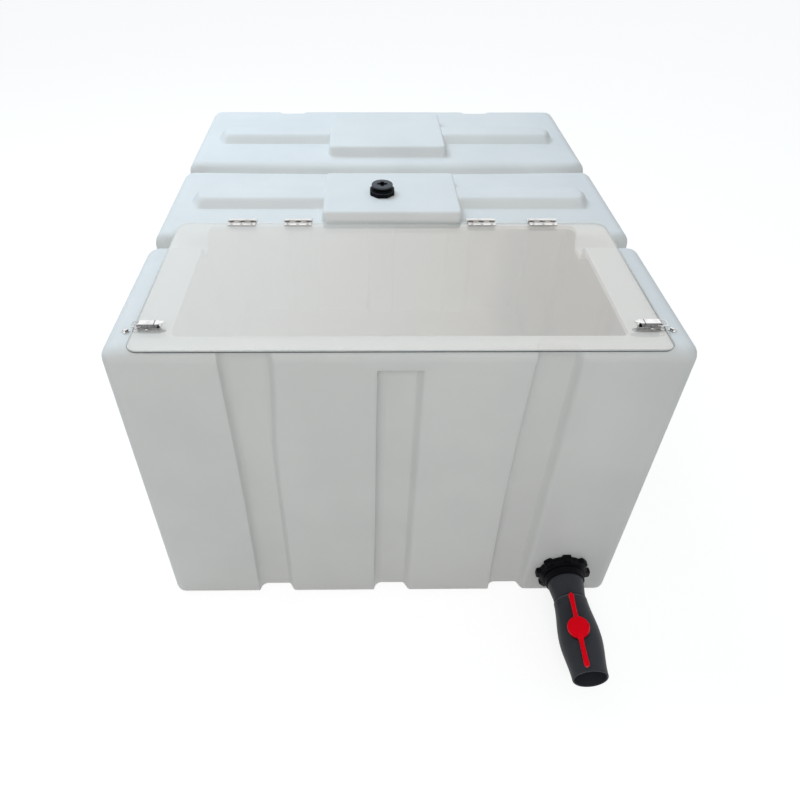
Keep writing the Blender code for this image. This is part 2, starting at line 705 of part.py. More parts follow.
def build_lever(side, steel, axis):
    """Folded sheet lever: a flat cover with two side cheeks that turn outside the ears."""
    lever = add_object(f"latch_{side}_lever", slab(lever_cover(), LEVER_TOP - LATCH_SHEET, LEVER_TOP), steel, axis)
    back = LEVER_FRONT - LEVER_LENGTH + LEVER_TIP_LENGTH
    under = LEVER_TOP - LATCH_SHEET / 2
    cheek = ([(back, under), (back + LEVER_CHEEK_DROP, -LEVER_CHEEK_DROP), (-LEVER_NOSE_RADIUS, -LEVER_CHEEK_DROP)]
             + arc((0, 0), LEVER_NOSE_RADIUS, 270, 410, 6) + [(LEVER_FRONT, under)])
    for sign in (-1, 1):
        sides = sorted((sign * LEVER_INNER, sign * LEVER_OUTER))
        rings = [[(x, y, z) for x, z in cheek] for y in sides]
        join(lever, add_object(f"latch_{side}_cheek_{sign + 2}", loft(rings), None, axis))
    tools = ((0.0, 0.0, LATCH_PIN_RADIUS + GAP, "pivot"),
             (-LOOP_PIVOT_BACK, -LOOP_PIVOT_DROP, LOOP_WIRE_RADIUS + GAP, "loop"))
    for x, z, radius, use in tools:
        bore = add_object(f"latch_{side}_{use}_bore", pin_shape(radius, 2 * LEVER_OUTER), None, axis,
                          (x, 0, z), (math.radians(90), 0, 0))
        cut(lever, bore)


def build_loop(side, steel, axis):
    """Bent wire loop whose two ends turn inwards into the lever's cheeks."""
    leg = LEVER_OUTER + 2 * RUNNING_GAP + LOOP_WIRE_RADIUS
    end = LEVER_INNER + GAP
    reach = LOOP_PIVOT_BACK + EAR_LENGTH / 2 + LOOP_REACH
    corner = LOOP_CORNER_RADIUS
    half = ([(0, end)] + arc((LOOP_BEND, leg - LOOP_BEND), LOOP_BEND, 180, 90, 2)
            + arc((reach - corner, leg - corner), corner, 90, 0, 3))
    route = [(x, y, 0) for x, y in half] + [(x, -y, 0) for x, y in reversed(half)]
    curve = bpy.data.curves.new(f"latch_{side}_loop", 'CURVE')
    curve.dimensions = '3D'
    spline = curve.splines.new('POLY')
    spline.points.add(len(route) - 1)
    for point, place in zip(spline.points, route):
        point.co = (*place, 1.0)
    curve.bevel_depth = LOOP_WIRE_RADIUS
    curve.bevel_resolution = 1
    curve.use_fill_caps = True
    curve.materials.append(steel)
    loop = bpy.data.objects.new(f"latch_{side}_loop", curve)
    bpy.context.collection.objects.link(loop)
    loop.parent = axis


def build_latch(side, sign, steel, lid_axis):
    x = sign * (LID_HALF_WIDTH - LATCH_FROM_LID_EDGE - LATCH_PIVOT_PLACE)
    place = (x, FRONT + LATCH_SETBACK - HINGE_AXIS_Y, LID_TOP + GAP + LATCH_PIVOT_HEIGHT - HINGE_AXIS_Z)
    facing = (0, 0, 0 if sign > 0 else math.pi)
    axis = add_axis(f"latch_{side}_axis", lid_axis, place, facing)
    build_latch_base(side, steel, axis)
    build_lever(side, steel, axis)
    pin = pin_shape(LATCH_PIN_RADIUS, LEVER_OUTER + GAP)
    add_object(f"latch_{side}_pin", pin, steel, axis, (0, 0, 0), (math.radians(90), 0, 0))
    loop_axis = add_axis(f"latch_{side}_loop_axis", axis, (-LOOP_PIVOT_BACK, 0, -LOOP_PIVOT_DROP))
    build_loop(side, steel, loop_axis)


def build_catch(side, sign, steel):
    """Catch plate with a hooked lip, as fitted to the tank beside the lid and turned on its screws."""
    place = (sign * (LID_HALF_WIDTH + CATCH_FROM_LID), FRONT + CATCH_SETBACK, TANK_HEIGHT + GAP)
    facing = (0, 0, CATCH_TURN if sign > 0 else math.pi - CATCH_TURN)
    axis = add_axis(f"latch_{side}_catch_axis", None, place, facing)
    half_x = CATCH_LENGTH / 2
    half_y = CATCH_WIDTH / 2
    outline = rounded_rectangle(-half_x, half_x, -half_y, half_y, CATCH_CORNER_RADIUS, 2)
    catch = add_object(f"latch_{side}_catch", slab(outline, 0, LATCH_SHEET), steel, axis)
    top = LATCH_SHEET + CATCH_HOOK_HEIGHT
    foot = -half_x + LATCH_SHEET
    hook = [(foot, LATCH_SHEET / 2), (foot + LATCH_SHEET, LATCH_SHEET / 2), (foot + LATCH_SHEET, top - LATCH_SHEET),
            (foot + CATCH_HOOK_REACH, top - LATCH_SHEET), (foot + CATCH_HOOK_REACH, top), (foot, top)]
    rings = [[(x, y, z) for x, z in hook] for y in (-CATCH_HOOK_WIDTH / 2, CATCH_HOOK_WIDTH / 2)]
    join(catch, add_object(f"latch_{side}_hook", loft(rings), None, axis))
    for number in (-1, 1):
        centre = (CATCH_HOLE_PLACE, number * CATCH_HOLE_SPACING / 2)
        hole = slab(disc_outline(centre, CATCH_HOLE_RADIUS, SMALL_STEPS), -WALL, WALL)
        cut(catch, add_object(f"latch_{side}_catch_hole_{number + 2}", hole, None, axis))


# Screwed tank fittings, modelled along their own axis with the wall's outer face at zero

def build_fitting(prefix, black, rubber, axis, size):
    """Flanged barrel from inside the tank with its gasket."""
    gasket_top = -WALL - GAP
    flange_top = gasket_top - size["gasket"] - GAP
    flange_low = flange_top - size["flange"]
    top = GAP + size["nut_height"] + size["standout"]
    chamfer = size["chamfer"]
    profile = [(size["bore"], flange_low), (size["flange_radius"] - chamfer, flange_low),
               (size["flange_radius"], flange_low + chamfer), (size["flange_radius"], flange_top),
               (size["barrel"], flange_top), (size["barrel"], top - chamfer), (size["barrel"] - chamfer, top)]
    if size["socket"] > size["bore"]:
        profile += [(size["socket"], top), (size["socket"], top - size["socket_depth"]),
                    (size["bore"], top - size["socket_depth"])]
    else:
        profile += [(size["bore"], top)]
    add_object(prefix + "_bulkhead", turned(profile, PIPE_STEPS), black, axis)
    hole = size["barrel"] + 2 * RUNNING_GAP
    gasket = ring_profile(hole, size["flange_radius"] - chamfer, gasket_top - size["gasket"], gasket_top)
    add_object(prefix + "_gasket", turned(gasket, PIPE_STEPS), rubber, axis)


def build_lug_nut(black, axis):
    """Clamping nut on the drain: a round body, a low collar on top and eight wrench lugs."""
    high = GAP + DRAIN_NUT_HEIGHT
    inner = DRAIN_BARREL_RADIUS + RUNNING_GAP
    collar = (DRAIN_NUT_RADIUS + DRAIN_BARREL_RADIUS) / 2 + 2 * RUNNING_GAP
    slope = (DRAIN_NUT_RADIUS - collar) / 2
    body = turned([(inner, GAP), (DRAIN_NUT_RADIUS, GAP), (DRAIN_NUT_RADIUS, DRAIN_NUT_SHOULDER),
                   (collar, DRAIN_NUT_SHOULDER + slope), (collar, high), (inner, high)], PIPE_STEPS)
    nut = add_object("drain_locknut", body, black, axis)
    half = DRAIN_NUT_LUG_WIDTH / 2
    root = collar - RUNNING_GAP
    outline = [(root, -half - slope), (DRAIN_NUT_LUG_REACH, -half), (DRAIN_NUT_LUG_REACH, half), (root, half + slope)]
    for i in range(DRAIN_NUT_LUGS):
        lug = slab(outline, 2 * GAP, DRAIN_NUT_SHOULDER + slope)
        turn = 2 * math.pi * i / DRAIN_NUT_LUGS
        join(nut, add_object(f"drain_nut_lug_{i}", lug, None, axis, (0, 0, 0), (0, 0, turn)))


def build_octagon_nut(black, axis):
    """Clamping nut on the vent: an octagon with a low round collar on top."""
    octagon = arc((0, 0), VENT_NUT_RADIUS, 22.5, 337.5, 7)
    nut = add_object("vent_locknut", slab(octagon, GAP, VENT_NUT_SHOULDER), black, axis)
    collar = slab(disc_outline((0, 0), VENT_NUT_COLLAR_RADIUS, PIPE_STEPS), 2 * GAP, GAP + VENT_NUT_HEIGHT)
    join(nut, add_object("vent_nut_collar", collar, None, axis))
    bore = slab(disc_outline((0, 0), VENT_BARREL_RADIUS + RUNNING_GAP, PIPE_STEPS), -WALL, 2 * VENT_NUT_HEIGHT)
    cut(nut, add_object("vent_nut_bore", bore, None, axis))


DRAIN_FITTING = {
    "barrel": DRAIN_BARREL_RADIUS, "bore": DRAIN_BORE_RADIUS, "socket": DRAIN_SOCKET_RADIUS,
    "socket_depth": DRAIN_SOCKET_DEPTH, "flange_radius": DRAIN_FLANGE_RADIUS,
    "flange": DRAIN_FLANGE_THICKNESS, "gasket": DRAIN_GASKET_THICKNESS,
    "nut_height": DRAIN_NUT_HEIGHT, "standout": DRAIN_BARREL_STANDOUT, "chamfer": DRAIN_CHAMFER,
}

VENT_FITTING = {
    "barrel": VENT_BARREL_RADIUS, "bore": VENT_BORE_RADIUS, "socket": 0.0, "socket_depth": 0.0,
    "flange_radius": VENT_FLANGE_RADIUS, "flange": VENT_FLANGE_THICKNESS, "gasket": VENT_GASKET_THICKNESS,
    "nut_height": VENT_NUT_HEIGHT, "standout": VENT_BARREL_STANDOUT, "chamfer": VENT_CHAMFER,
}


# Drain adapter and ball valve, along the drain's axis

def build_adapter(grey, axis):
    """Tapered adapter: its tail is glued into the bulkhead, its spigot into the valve."""
    tail = DRAIN_BARREL_TOP - DRAIN_SOCKET_DEPTH + GAP
    collar = DRAIN_BARREL_TOP + GAP
    end = collar + ADAPTER_LENGTH
    spigot = end + PIPE_SOCKET_DEPTH - GAP
    taper = collar + ADAPTER_COLLAR_LENGTH
    profile = [(DRAIN_BORE_RADIUS, tail), (DRAIN_SOCKET_RADIUS - GAP, tail), (DRAIN_SOCKET_RADIUS - GAP, collar),
               (ADAPTER_COLLAR_RADIUS, collar), (ADAPTER_COLLAR_RADIUS, taper),
               (ADAPTER_NECK_RADIUS, taper + ADAPTER_TAPER_LENGTH), (ADAPTER_NECK_RADIUS, end), (PIPE_RADIUS, end),
               (PIPE_RADIUS, spigot), (DRAIN_BORE_RADIUS, spigot)]
    add_object("drain_adapter", turned(profile, PIPE_STEPS), grey, axis)


def valve_outer_radius(z):
    """Outside of the valve: a smooth bulge round the ball that eases down to both sockets."""
    reach = BALL_PLACE if z < BALL_PLACE else VALVE_LENGTH - BALL_PLACE
    share = min(abs(z - BALL_PLACE) / reach, 1.0)
    return VALVE_END_RADIUS + (VALVE_BULGE_RADIUS - VALVE_END_RADIUS) * (0.5 + 0.5 * math.cos(math.pi * share))


def build_valve_body(grey, axis, stem_axis):
    socket = PIPE_RADIUS + RUNNING_GAP
    pocket = SEAT_OUTER_RADIUS + GAP
    chamber = BALL_RADIUS + 4 * RUNNING_GAP
    seat_front = math.sqrt((BALL_RADIUS + RUNNING_GAP) ** 2 - SEAT_OUTER_RADIUS ** 2)
    back = SEAT_BACK + GAP
    places = [VALVE_LENGTH * i / VALVE_BULGE_STEPS for i in range(VALVE_BULGE_STEPS + 1)]
    profile = [(valve_outer_radius(place), place) for place in places]
    profile += [(socket, VALVE_LENGTH), (socket, VALVE_LENGTH - PIPE_SOCKET_DEPTH),
                (VALVE_BORE_RADIUS, VALVE_LENGTH - PIPE_SOCKET_DEPTH), (VALVE_BORE_RADIUS, BALL_PLACE + back),
                (pocket, BALL_PLACE + back), (pocket, BALL_PLACE + seat_front),
                (chamber, BALL_PLACE + seat_front), (chamber, BALL_PLACE - seat_front),
                (pocket, BALL_PLACE - seat_front), (pocket, BALL_PLACE - back),
                (VALVE_BORE_RADIUS, BALL_PLACE - back), (VALVE_BORE_RADIUS, PIPE_SOCKET_DEPTH),
                (socket, PIPE_SOCKET_DEPTH), (socket, 0)]
    body = add_object("valve_body", turned(profile, PIPE_STEPS), grey, axis)
    root = VALVE_BULGE_RADIUS - VALVE_BOSS_ROOT
    boss = turned([(0, root), (VALVE_BOSS_RADIUS, root), (VALVE_BOSS_RADIUS, VALVE_BOSS_TOP - VALVE_BOSS_CHAMFER),
                   (VALVE_BOSS_RADIUS - VALVE_BOSS_CHAMFER, VALVE_BOSS_TOP), (0, VALVE_BOSS_TOP)], STEM_STEPS)
    join(body, add_object("valve_boss_tool", boss, None, stem_axis))
    bore_radius = STEM_RADIUS + 2 * RUNNING_GAP
    inside = BALL_RADIUS / 2
    bore = turned([(0, inside), (bore_radius, inside), (bore_radius, 2 * VALVE_BOSS_TOP), (0, 2 * VALVE_BOSS_TOP)],
                  STEM_STEPS)
    cut(body, add_object("valve_stem_bore_tool", bore, None, stem_axis))


def build_seats(white, axis):
    """Two rings whose hollow faces bear on the ball, one on each side of it."""
    hollow = BALL_RADIUS + RUNNING_GAP
    radii = [VALVE_BORE_RADIUS, (VALVE_BORE_RADIUS + SEAT_OUTER_RADIUS) / 2, SEAT_OUTER_RADIUS]
    face = [(radius, math.sqrt(hollow ** 2 - radius ** 2)) for radius in radii]
    profile = face + [(SEAT_OUTER_RADIUS, SEAT_BACK), (VALVE_BORE_RADIUS, SEAT_BACK)]
    for name, turn in (("valve_seat_inlet", math.pi), ("valve_seat_outlet", 0.0)):
        add_object(name, turned(profile, PIPE_STEPS), white, axis, (0, 0, BALL_PLACE), (turn, 0, 0))


def build_ball(white, stem_axis):
    bm = bmesh.new()
    bmesh.ops.create_uvsphere(bm, u_segments=24, v_segments=14, radius=BALL_RADIUS)
    ball = add_object("valve_ball", bm, white, stem_axis)
    bore = pin_shape(BALL_BORE_RADIUS, 2 * BALL_RADIUS, PIPE_STEPS)
    cut(ball, add_object("ball_bore_tool", bore, None, stem_axis, (0, 0, 0), (math.radians(90), 0, 0)))
    half_width = STEM_TANG_WIDTH / 2 + GAP
    low = BALL_RADIUS - STEM_TANG_DEPTH - GAP
    slot = box((-half_width, -BALL_RADIUS, low), (half_width, BALL_RADIUS, 2 * BALL_RADIUS))
    cut(ball, add_object("ball_slot_tool", slot, None, stem_axis))


def build_stem(black, rubber, stem_axis):
    """Stem with a flat tang in the ball's slot, a seal groove and a round top in the handle."""
    low = BALL_RADIUS + GAP
    top = VALVE_BOSS_TOP + GAP + HANDLE_SOCKET_DEPTH - GAP
    seal = (low + VALVE_BOSS_TOP) / 2
    half_groove = STEM_SEAL_RADIUS + GAP
    profile = [(0, low), (STEM_RADIUS, low), (STEM_RADIUS, seal - half_groove),
               (STEM_NECK_RADIUS, seal - half_groove),
               (STEM_NECK_RADIUS, seal + half_groove), (STEM_RADIUS, seal + half_groove),
               (STEM_RADIUS, top), (0, top)]
    stem = add_object("valve_stem", turned(profile, STEM_STEPS), black, stem_axis)
    tang = box((-STEM_TANG_WIDTH / 2, -STEM_TANG_LENGTH / 2, BALL_RADIUS - STEM_TANG_DEPTH),
               (STEM_TANG_WIDTH / 2, STEM_TANG_LENGTH / 2, low + GAP))
    join(stem, add_object("stem_tang_tool", tang, None, stem_axis))
    middle = STEM_NECK_RADIUS + GAP + STEM_SEAL_RADIUS
    ring = [(middle + x, seal + z) for x, z in disc_outline((0, 0), STEM_SEAL_RADIUS, 6)]
    add_object("valve_stem_seal", turned(ring, STEM_STEPS), rubber, stem_axis)


def handle_half_width(s):
    """Half width of the handle at a distance from its hub: a round hub that flows into two arms."""
    hub = math.sqrt(max(HANDLE_HUB_RADIUS ** 2 - s ** 2, 0.0))
    share = min(abs(s) / HANDLE_REACH, 1.0)
    arm = (HANDLE_NECK_WIDTH + (HANDLE_TIP_WIDTH - HANDLE_NECK_WIDTH) * share ** 2) / 2
    fillet = HANDLE_FILLET * max(1 - abs(s) / HANDLE_FILLET_REACH, 0.0)
    width = (hub + arm + math.sqrt((hub - arm) ** 2 + fillet ** 2)) / 2
    nose = HANDLE_TIP_WIDTH / 2
    past = max(abs(s) - (HANDLE_REACH - nose), 0.0) / nose
    return width * math.sqrt(max(1 - past ** 2, 0.0))


def build_handle(red, stem_axis):
    low = VALVE_BOSS_TOP + GAP
    high = low + HANDLE_THICKNESS
    nose = HANDLE_TIP_WIDTH / 2
    places = [HANDLE_HUB_RADIUS * math.sin(math.radians(15 * i)) for i in range(7)]
    places += [HANDLE_HUB_RADIUS + (HANDLE_REACH - nose - HANDLE_HUB_RADIUS) * i / 4 for i in range(1, 5)]
    places += [HANDLE_REACH - nose + nose * math.sin(math.radians(35 * i)) for i in range(1, 3)]
    right = [(handle_half_width(s), s) for s in places]
    quarter = right[1:]
    outline = (right[:1] + quarter + [(0, HANDLE_REACH)] + [(-x, y) for x, y in reversed(quarter)]
               + [(-right[0][0], 0)] + [(-x, -y) for x, y in quarter] + [(0, -HANDLE_REACH)]
               + [(x, -y) for x, y in reversed(quarter)])
    handle = add_object("valve_handle", slab(outline, low, high), red, stem_axis)
    round_edges(handle, HANDLE_EDGE_RADIUS, 2)
    socket = turned([(0, low - WALL), (STEM_RADIUS + GAP, low - WALL), (STEM_RADIUS + GAP, low + HANDLE_SOCKET_DEPTH),
                     (0, low + HANDLE_SOCKET_DEPTH)], STEM_STEPS)
    cut(handle, add_object("handle_socket_tool", socket, None, stem_axis))


def build_drain(black, rubber):
    grey = make_material("valve_grey", (0.085, 0.088, 0.095), 0.5)
    white = make_material("valve_white", (0.85, 0.85, 0.83), 0.35)
    red = make_material("handle_red", (0.72, 0.015, 0.03), 0.35)
    axis = add_axis("drain_axis", None, (DRAIN_X, FRONT, DRAIN_HEIGHT), (math.radians(90), 0, 0))
    build_fitting("drain", black, rubber, axis, DRAIN_FITTING)
    build_lug_nut(black, axis)
    build_adapter(grey, axis)
    valve_axis = add_axis("valve_axis", axis, (0, 0, VALVE_START), (0, 0, VALVE_ROLL))
    stem_axis = add_axis("valve_stem_axis", valve_axis, (0, 0, BALL_PLACE), (math.radians(-90), 0, 0))
    build_valve_body(grey, valve_axis, stem_axis)
    build_seats(white, valve_axis)
    build_ball(white, stem_axis)
    build_stem(black, rubber, stem_axis)
    build_handle(red, stem_axis)


# Vent fitting and its plug

def build_plug(black, rubber, axis):
    seat = GAP + VENT_NUT_HEIGHT + VENT_BARREL_STANDOUT
    seal_top = seat + GAP + PLUG_SEAL_THICKNESS
    under = seal_top + GAP
    top = under + PLUG_DISC_THICKNESS
    stem_radius = VENT_BORE_RADIUS - GAP
    chamfer = PLUG_CHAMFER
    seal = ring_profile(VENT_BORE_RADIUS + GAP, VENT_BARREL_RADIUS, seat + GAP, seal_top)
    add_object("vent_plug_seal", turned(seal, PIPE_STEPS), rubber, axis)
    profile = [(0, under - PLUG_STEM_LENGTH), (stem_radius - chamfer, under - PLUG_STEM_LENGTH),
               (stem_radius, under - PLUG_STEM_LENGTH + chamfer), (stem_radius, under), (PLUG_DISC_RADIUS, under),
               (PLUG_DISC_RADIUS, top - chamfer), (PLUG_DISC_RADIUS - chamfer, top), (0, top)]
    plug = add_object("vent_plug", turned(profile, PIPE_STEPS), black, axis)
    arm = PLUG_RECESS_ARM / 2
    span = PLUG_RECESS_SPAN / 2
    cross = [(arm, arm), (arm, span), (-arm, span), (-arm, arm), (-span, arm), (-span, -arm),
             (-arm, -arm), (-arm, -span), (arm, -span), (arm, -arm), (span, -arm), (span, arm)]
    recess = slab(cross, top - PLUG_RECESS_DEPTH, top + WALL)
    cut(plug, add_object("plug_recess_tool", recess, None, axis))


def build_vent(black, rubber):
    axis = add_axis("vent_axis", None, (VENT_X, VENT_Y, PAD_TOP))
    build_fitting("vent", black, rubber, axis, VENT_FITTING)
    build_octagon_nut(black, axis)
    build_plug(black, rubber, axis)


def build_all():
    start_empty_scene()
    steel = make_material("latch_steel", (0.78, 0.78, 0.77), 0.18, 1.0)
    black = make_material("fitting_black", (0.018, 0.018, 0.020), 0.45)
    rubber = make_material("seal_rubber", (0.03, 0.03, 0.03), 0.8)
    hinge_place = (0, HINGE_AXIS_Y, HINGE_AXIS_Z)
    lid_axis = add_axis("lid_axis", None, hinge_place)
    tank_axis = add_axis("hinge_line", None, hinge_place)
    build_tank()
    build_lid(lid_axis)
    build_hinges(lid_axis, tank_axis)
    for side, sign in (("left", -1), ("right", 1)):
        build_latch(side, sign, steel, lid_axis)
        build_catch(side, sign, steel)
    build_drain(black, rubber)
    build_vent(black, rubber)


build_all()
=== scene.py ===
# Live fish transport tank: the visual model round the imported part.
# Metres, +Z up, front towards -Y, the origin in the middle of the tank's underside.

import json
import math

import bmesh
import bpy
import numpy as np
from mathutils import Matrix, Vector


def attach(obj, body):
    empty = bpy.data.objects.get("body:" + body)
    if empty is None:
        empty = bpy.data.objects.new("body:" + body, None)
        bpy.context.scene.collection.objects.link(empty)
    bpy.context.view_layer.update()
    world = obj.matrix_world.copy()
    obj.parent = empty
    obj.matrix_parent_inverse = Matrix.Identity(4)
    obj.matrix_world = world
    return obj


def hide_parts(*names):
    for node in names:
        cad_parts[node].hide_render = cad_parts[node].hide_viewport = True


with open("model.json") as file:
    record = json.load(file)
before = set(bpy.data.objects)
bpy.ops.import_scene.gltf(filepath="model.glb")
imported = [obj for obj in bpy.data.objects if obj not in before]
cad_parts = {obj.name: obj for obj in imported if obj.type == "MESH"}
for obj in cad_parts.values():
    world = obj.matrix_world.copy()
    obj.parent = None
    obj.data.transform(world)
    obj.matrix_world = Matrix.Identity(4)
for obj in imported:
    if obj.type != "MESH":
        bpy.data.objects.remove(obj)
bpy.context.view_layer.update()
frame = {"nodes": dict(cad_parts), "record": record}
nodes = frame["nodes"]

# Tank sizes, the same as the part's
HALF_WIDTH = 0.500
HALF_DEPTH = 0.575
HEIGHT = 0.715
WALL = 0.008
THIN_WALL = 0.0055
TOP_RADIUS = 0.030
END_RADIUS = 0.026
FOOT_RADIUS = 0.014
GROOVES = (-0.207, 0.162)
GROOVE_HALF = 0.021
GROOVE_DEPTH = 0.028
GROOVE_DRAFT = 0.0015
GROOVE_LIP = 0.018
GROOVE_FLOOR = 0.006
CHANNELS = (-0.265, 0.0, 0.265)
CHANNEL_HALF = 0.039
CHANNEL_DEPTH = 0.019
CHANNEL_SLOPE = 0.42
CHANNEL_RIM = 0.018
CHANNEL_END = 0.669
PADS = ((-0.0335, 0.1035), (0.347, 0.120))
PAD_HALF_WIDTH = 0.150
PAD_HEIGHT = 0.026
PAD_DRAFT = 0.003
PAD_EDGE = 0.006
PAD_FOOT = 0.005
PAD_CORNER = 0.012
RIDGES = (-0.029, 0.347)
RIDGE_HEIGHT = 0.022
RIDGE_HALF = 0.040
RIDGE_TIP = 0.446
HATCH_X = 0.385
HATCH_Y = (-0.535, -0.147)
HATCH_CORNER = 0.012
VENT_PLACE = (-0.020, -0.045)
VENT_SQUARE = 0.017
VENT_HOLE = 0.0198
DRAIN_PLACE = (0.384, 0.085)
DRAIN_SQUARE = 0.0385
DRAIN_HOLE = 0.0440

# Places on the lattice of the shell, with the least distance between two lines of it
LEAST_GAP = 0.0018
LIP_STEPS = np.array([-0.016, -0.0105, -0.0070, -0.0042, -0.0022, -0.0006, 0.001, 0.0035, 0.008, 0.016])
CORNER_STEPS = (0, 1 / 3, 2 / 3, 1)
PAD_CORNER_STEPS = (0.7, 1)
CHANNEL_TOP_STEPS = np.array([-0.014, -0.008, -0.004, 0.0, 0.003, 0.007])
RIDGE_STEPS = (0.0, 0.012, 0.022, 0.0265, 0.0295, 0.033, 0.0365, 0.040, 0.0435)
PLAIN_COLUMNS = [0.075, 0.100, 0.125, 0.175, 0.195, 0.335, 0.354, 0.4, 0.4615]
PLAIN_ROWS = [0.030, 0.142, 0.165, 0.215, 0.27, 0.33, 0.39, 0.45, 0.505, 0.55, 0.585, 0.615, 0.638]
PLAIN_STATIONS = [-0.1435, -0.116, -0.098, -0.080, 0.028, 0.048, 0.0965, 0.115, 0.212, 0.245, 0.262, 0.282,
                  0.412, 0.432, 0.452, 0.488, 0.508, 0.530, 0.542]

# Distances from a corner or hole at which the bending of the lattice begins to fade, and ends
HATCH_BEND = (0.013, 0.025)
PAD_BEND = (0.017, 0.0215)
VENT_BEND = (0.0172, 0.032)
DRAIN_BEND = (0.039, 0.062)

# How far in from the end walls a channel reaches, where the grooves begin on the way out to the sides and
# the top, and the sag of the top at the rear groove
CHANNEL_REACH = 0.040
GROOVE_FROM = (0.40, 0.45)
SAG_DEPTH = 0.006
SAG_REACH = 0.060

# Fittings: hinge middles across the tank, screw places, latch and catch places, turns in degrees, and the
# step across the levers, where a painted shade line lies
HINGE_PLACES = (-0.318, -0.200, 0.189, 0.319)
HINGE_SCREW_STEP = 0.021
LID_SCREWS = (-0.1501, 0.7218)
TANK_SCREWS = (-0.1226, 0.7165)
LATCH_PLACE = (0.425, -0.514, 0.7216)
LATCH_SCREW_STEP = 0.0095
LOOP_PLACE = (0.4348, -0.514, 0.7254)
CATCH_PLACE = (0.4624, -0.520, 0.7163)
CATCH_TURN = 42
CATCH_SCREWS = (0.0028, 0.0029)
SCREW_TURN = 37
CATCH_SCREW_TURN = 2.61
LEVER_STEP = 0.4125

# Valve: its end on the adapter, its length, the ball's middle along it, and two turns in degrees
VALVE_START = 0.0794
VALVE_LENGTH = 0.1680
BALL = 0.0870
VALVE_LEAN = 16
HANDLE_TURN = -2

# Camera: place, heading, pitch and roll in degrees, the lens in pixels of an 800 wide picture, and shift
PICTURE = 800
SENSOR = 36
LENS = 657.6
CAMERA_PLACE = (-0.0629, -1.4156, 1.377)
CAMERA_TURN = (0.888, 40.739, 0.394)
CAMERA_SHIFT = (0.03625, -0.025)


# Numbers worked out on whole arrays

def step(a, b, x):
    """Rises from 0 at a to 1 at b along a smooth S-shaped curve."""
    t = np.clip((x - a) / (b - a), 0, 1)
    return t * t * (3 - 2 * t)


def soft_min(a, b, reach):
    """The lower of a and b, rounded where they are closer than reach."""
    blend = np.clip(0.5 + 0.5 * (b - a) / reach, 0, 1)
    return b + (a - b) * blend - reach * blend * (1 - blend)


def soft_max(a, b, reach):
    """The higher of a and b, rounded where they are closer than reach."""
    return -soft_min(-a, -b, reach)


def fillet_path(corners, radii, steps):
    """A bent line with each inner corner replaced by an arc tangent to both its legs."""
    corners = np.array(corners, float)
    found = [corners[0]]
    for before, corner, after, radius in zip(corners, corners[1:], corners[2:], radii):
        a = (before - corner) / np.linalg.norm(before - corner)
        b = (after - corner) / np.linalg.norm(after - corner)
        half = math.acos(float(np.clip(a @ b, -1, 1))) / 2
        centre = corner + (a + b) / np.linalg.norm(a + b) * radius / math.sin(half)
        start = corner + a * radius / math.tan(half) - centre
        end = corner + b * radius / math.tan(half) - centre
        sweep = math.pi - 2 * half
        t = np.linspace(0, 1, steps + 1)[:, None]
        found.extend(centre + (start * np.sin((1 - t) * sweep) + end * np.sin(t * sweep)) / math.sin(sweep))
    found.append(corners[-1])
    return np.array(found)


def round_square(x, y):
    """Carries nested squares to nested circles: the greater coordinate becomes the distance from the
    middle, and the smaller one's share of it becomes the turn, up to 45 degrees at the diagonal."""
    reach = np.maximum(np.abs(x), np.abs(y))
    share = np.minimum(np.abs(x), np.abs(y)) / np.maximum(reach, 1e-12)
    turn = share * math.pi / 4
    longer = reach * np.cos(turn)
    shorter = reach * np.sin(turn)
    flat = np.abs(x) >= np.abs(y)
    return np.sign(x) * np.where(flat, longer, shorter), np.sign(y) * np.where(flat, shorter, longer), reach


# Meshes

def make_mesh(name, points, quads, polygons=()):
    """One mesh of four-cornered faces, with a list of longer faces after them."""
    quads = np.asarray(quads, int).reshape(-1, 4)
    corners = np.concatenate([quads.ravel()] + [np.asarray(p, int) for p in polygons])
    lengths = np.concatenate([np.full(len(quads), 4), [len(p) for p in polygons]]).astype(int)
    starts = np.concatenate([[0], np.cumsum(lengths)[:-1]])
    mesh = bpy.data.meshes.new(name)
    mesh.vertices.add(len(points))
    mesh.vertices.foreach_set("co", np.asarray(points, np.float32).ravel())
    mesh.loops.add(len(corners))
    mesh.loops.foreach_set("vertex_index", corners.astype(np.int32))
    mesh.polygons.add(len(lengths))
    mesh.polygons.foreach_set("loop_start", starts.astype(np.int32))
    mesh.polygons.foreach_set("use_smooth", np.ones(len(lengths), bool))
    mesh.update(calc_edges=True)
    mesh.validate()
    return mesh


def add_piece(name, mesh, material, body, slot, replaced=(), sharp=35):
    """A finished piece: its place is in its mesh, and it rides on one body."""
    piece = bpy.data.objects.new(name, mesh)
    bpy.context.collection.objects.link(piece)
    mesh.materials.append(material)
    if sharp:
        mesh.set_sharp_from_angle(angle=math.radians(sharp))
    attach(piece, body)
    if replaced:
        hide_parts(*replaced)
    return piece


def paint(mesh, name, value):
    """Gives every point of a mesh a value that its finish can read."""
    mesh.attributes.new(name, "FLOAT", "POINT").data.foreach_set("value", value.astype(np.float32))


def cell_faces(index):
    """The four corners of every cell of a grid of point numbers."""
    return np.stack([index[:-1, :-1], index[1:, :-1], index[1:, 1:], index[:-1, 1:]], -1).reshape(-1, 4)


# Tank shell

def grid_lines(fixed, fill, room):
    """The fixed lines in order, with those fill lines that keep their room from every fixed one."""
    fixed = np.unique(np.round(fixed, 6))
    kept = [place for place in np.unique(np.round(fill, 6)) if np.abs(fixed - place).min() > room]
    return np.array(sorted(list(fixed) + kept))


def mirrored(places):
    """The places and their mirror images about the middle."""
    return list(places) + [-place for place in places]


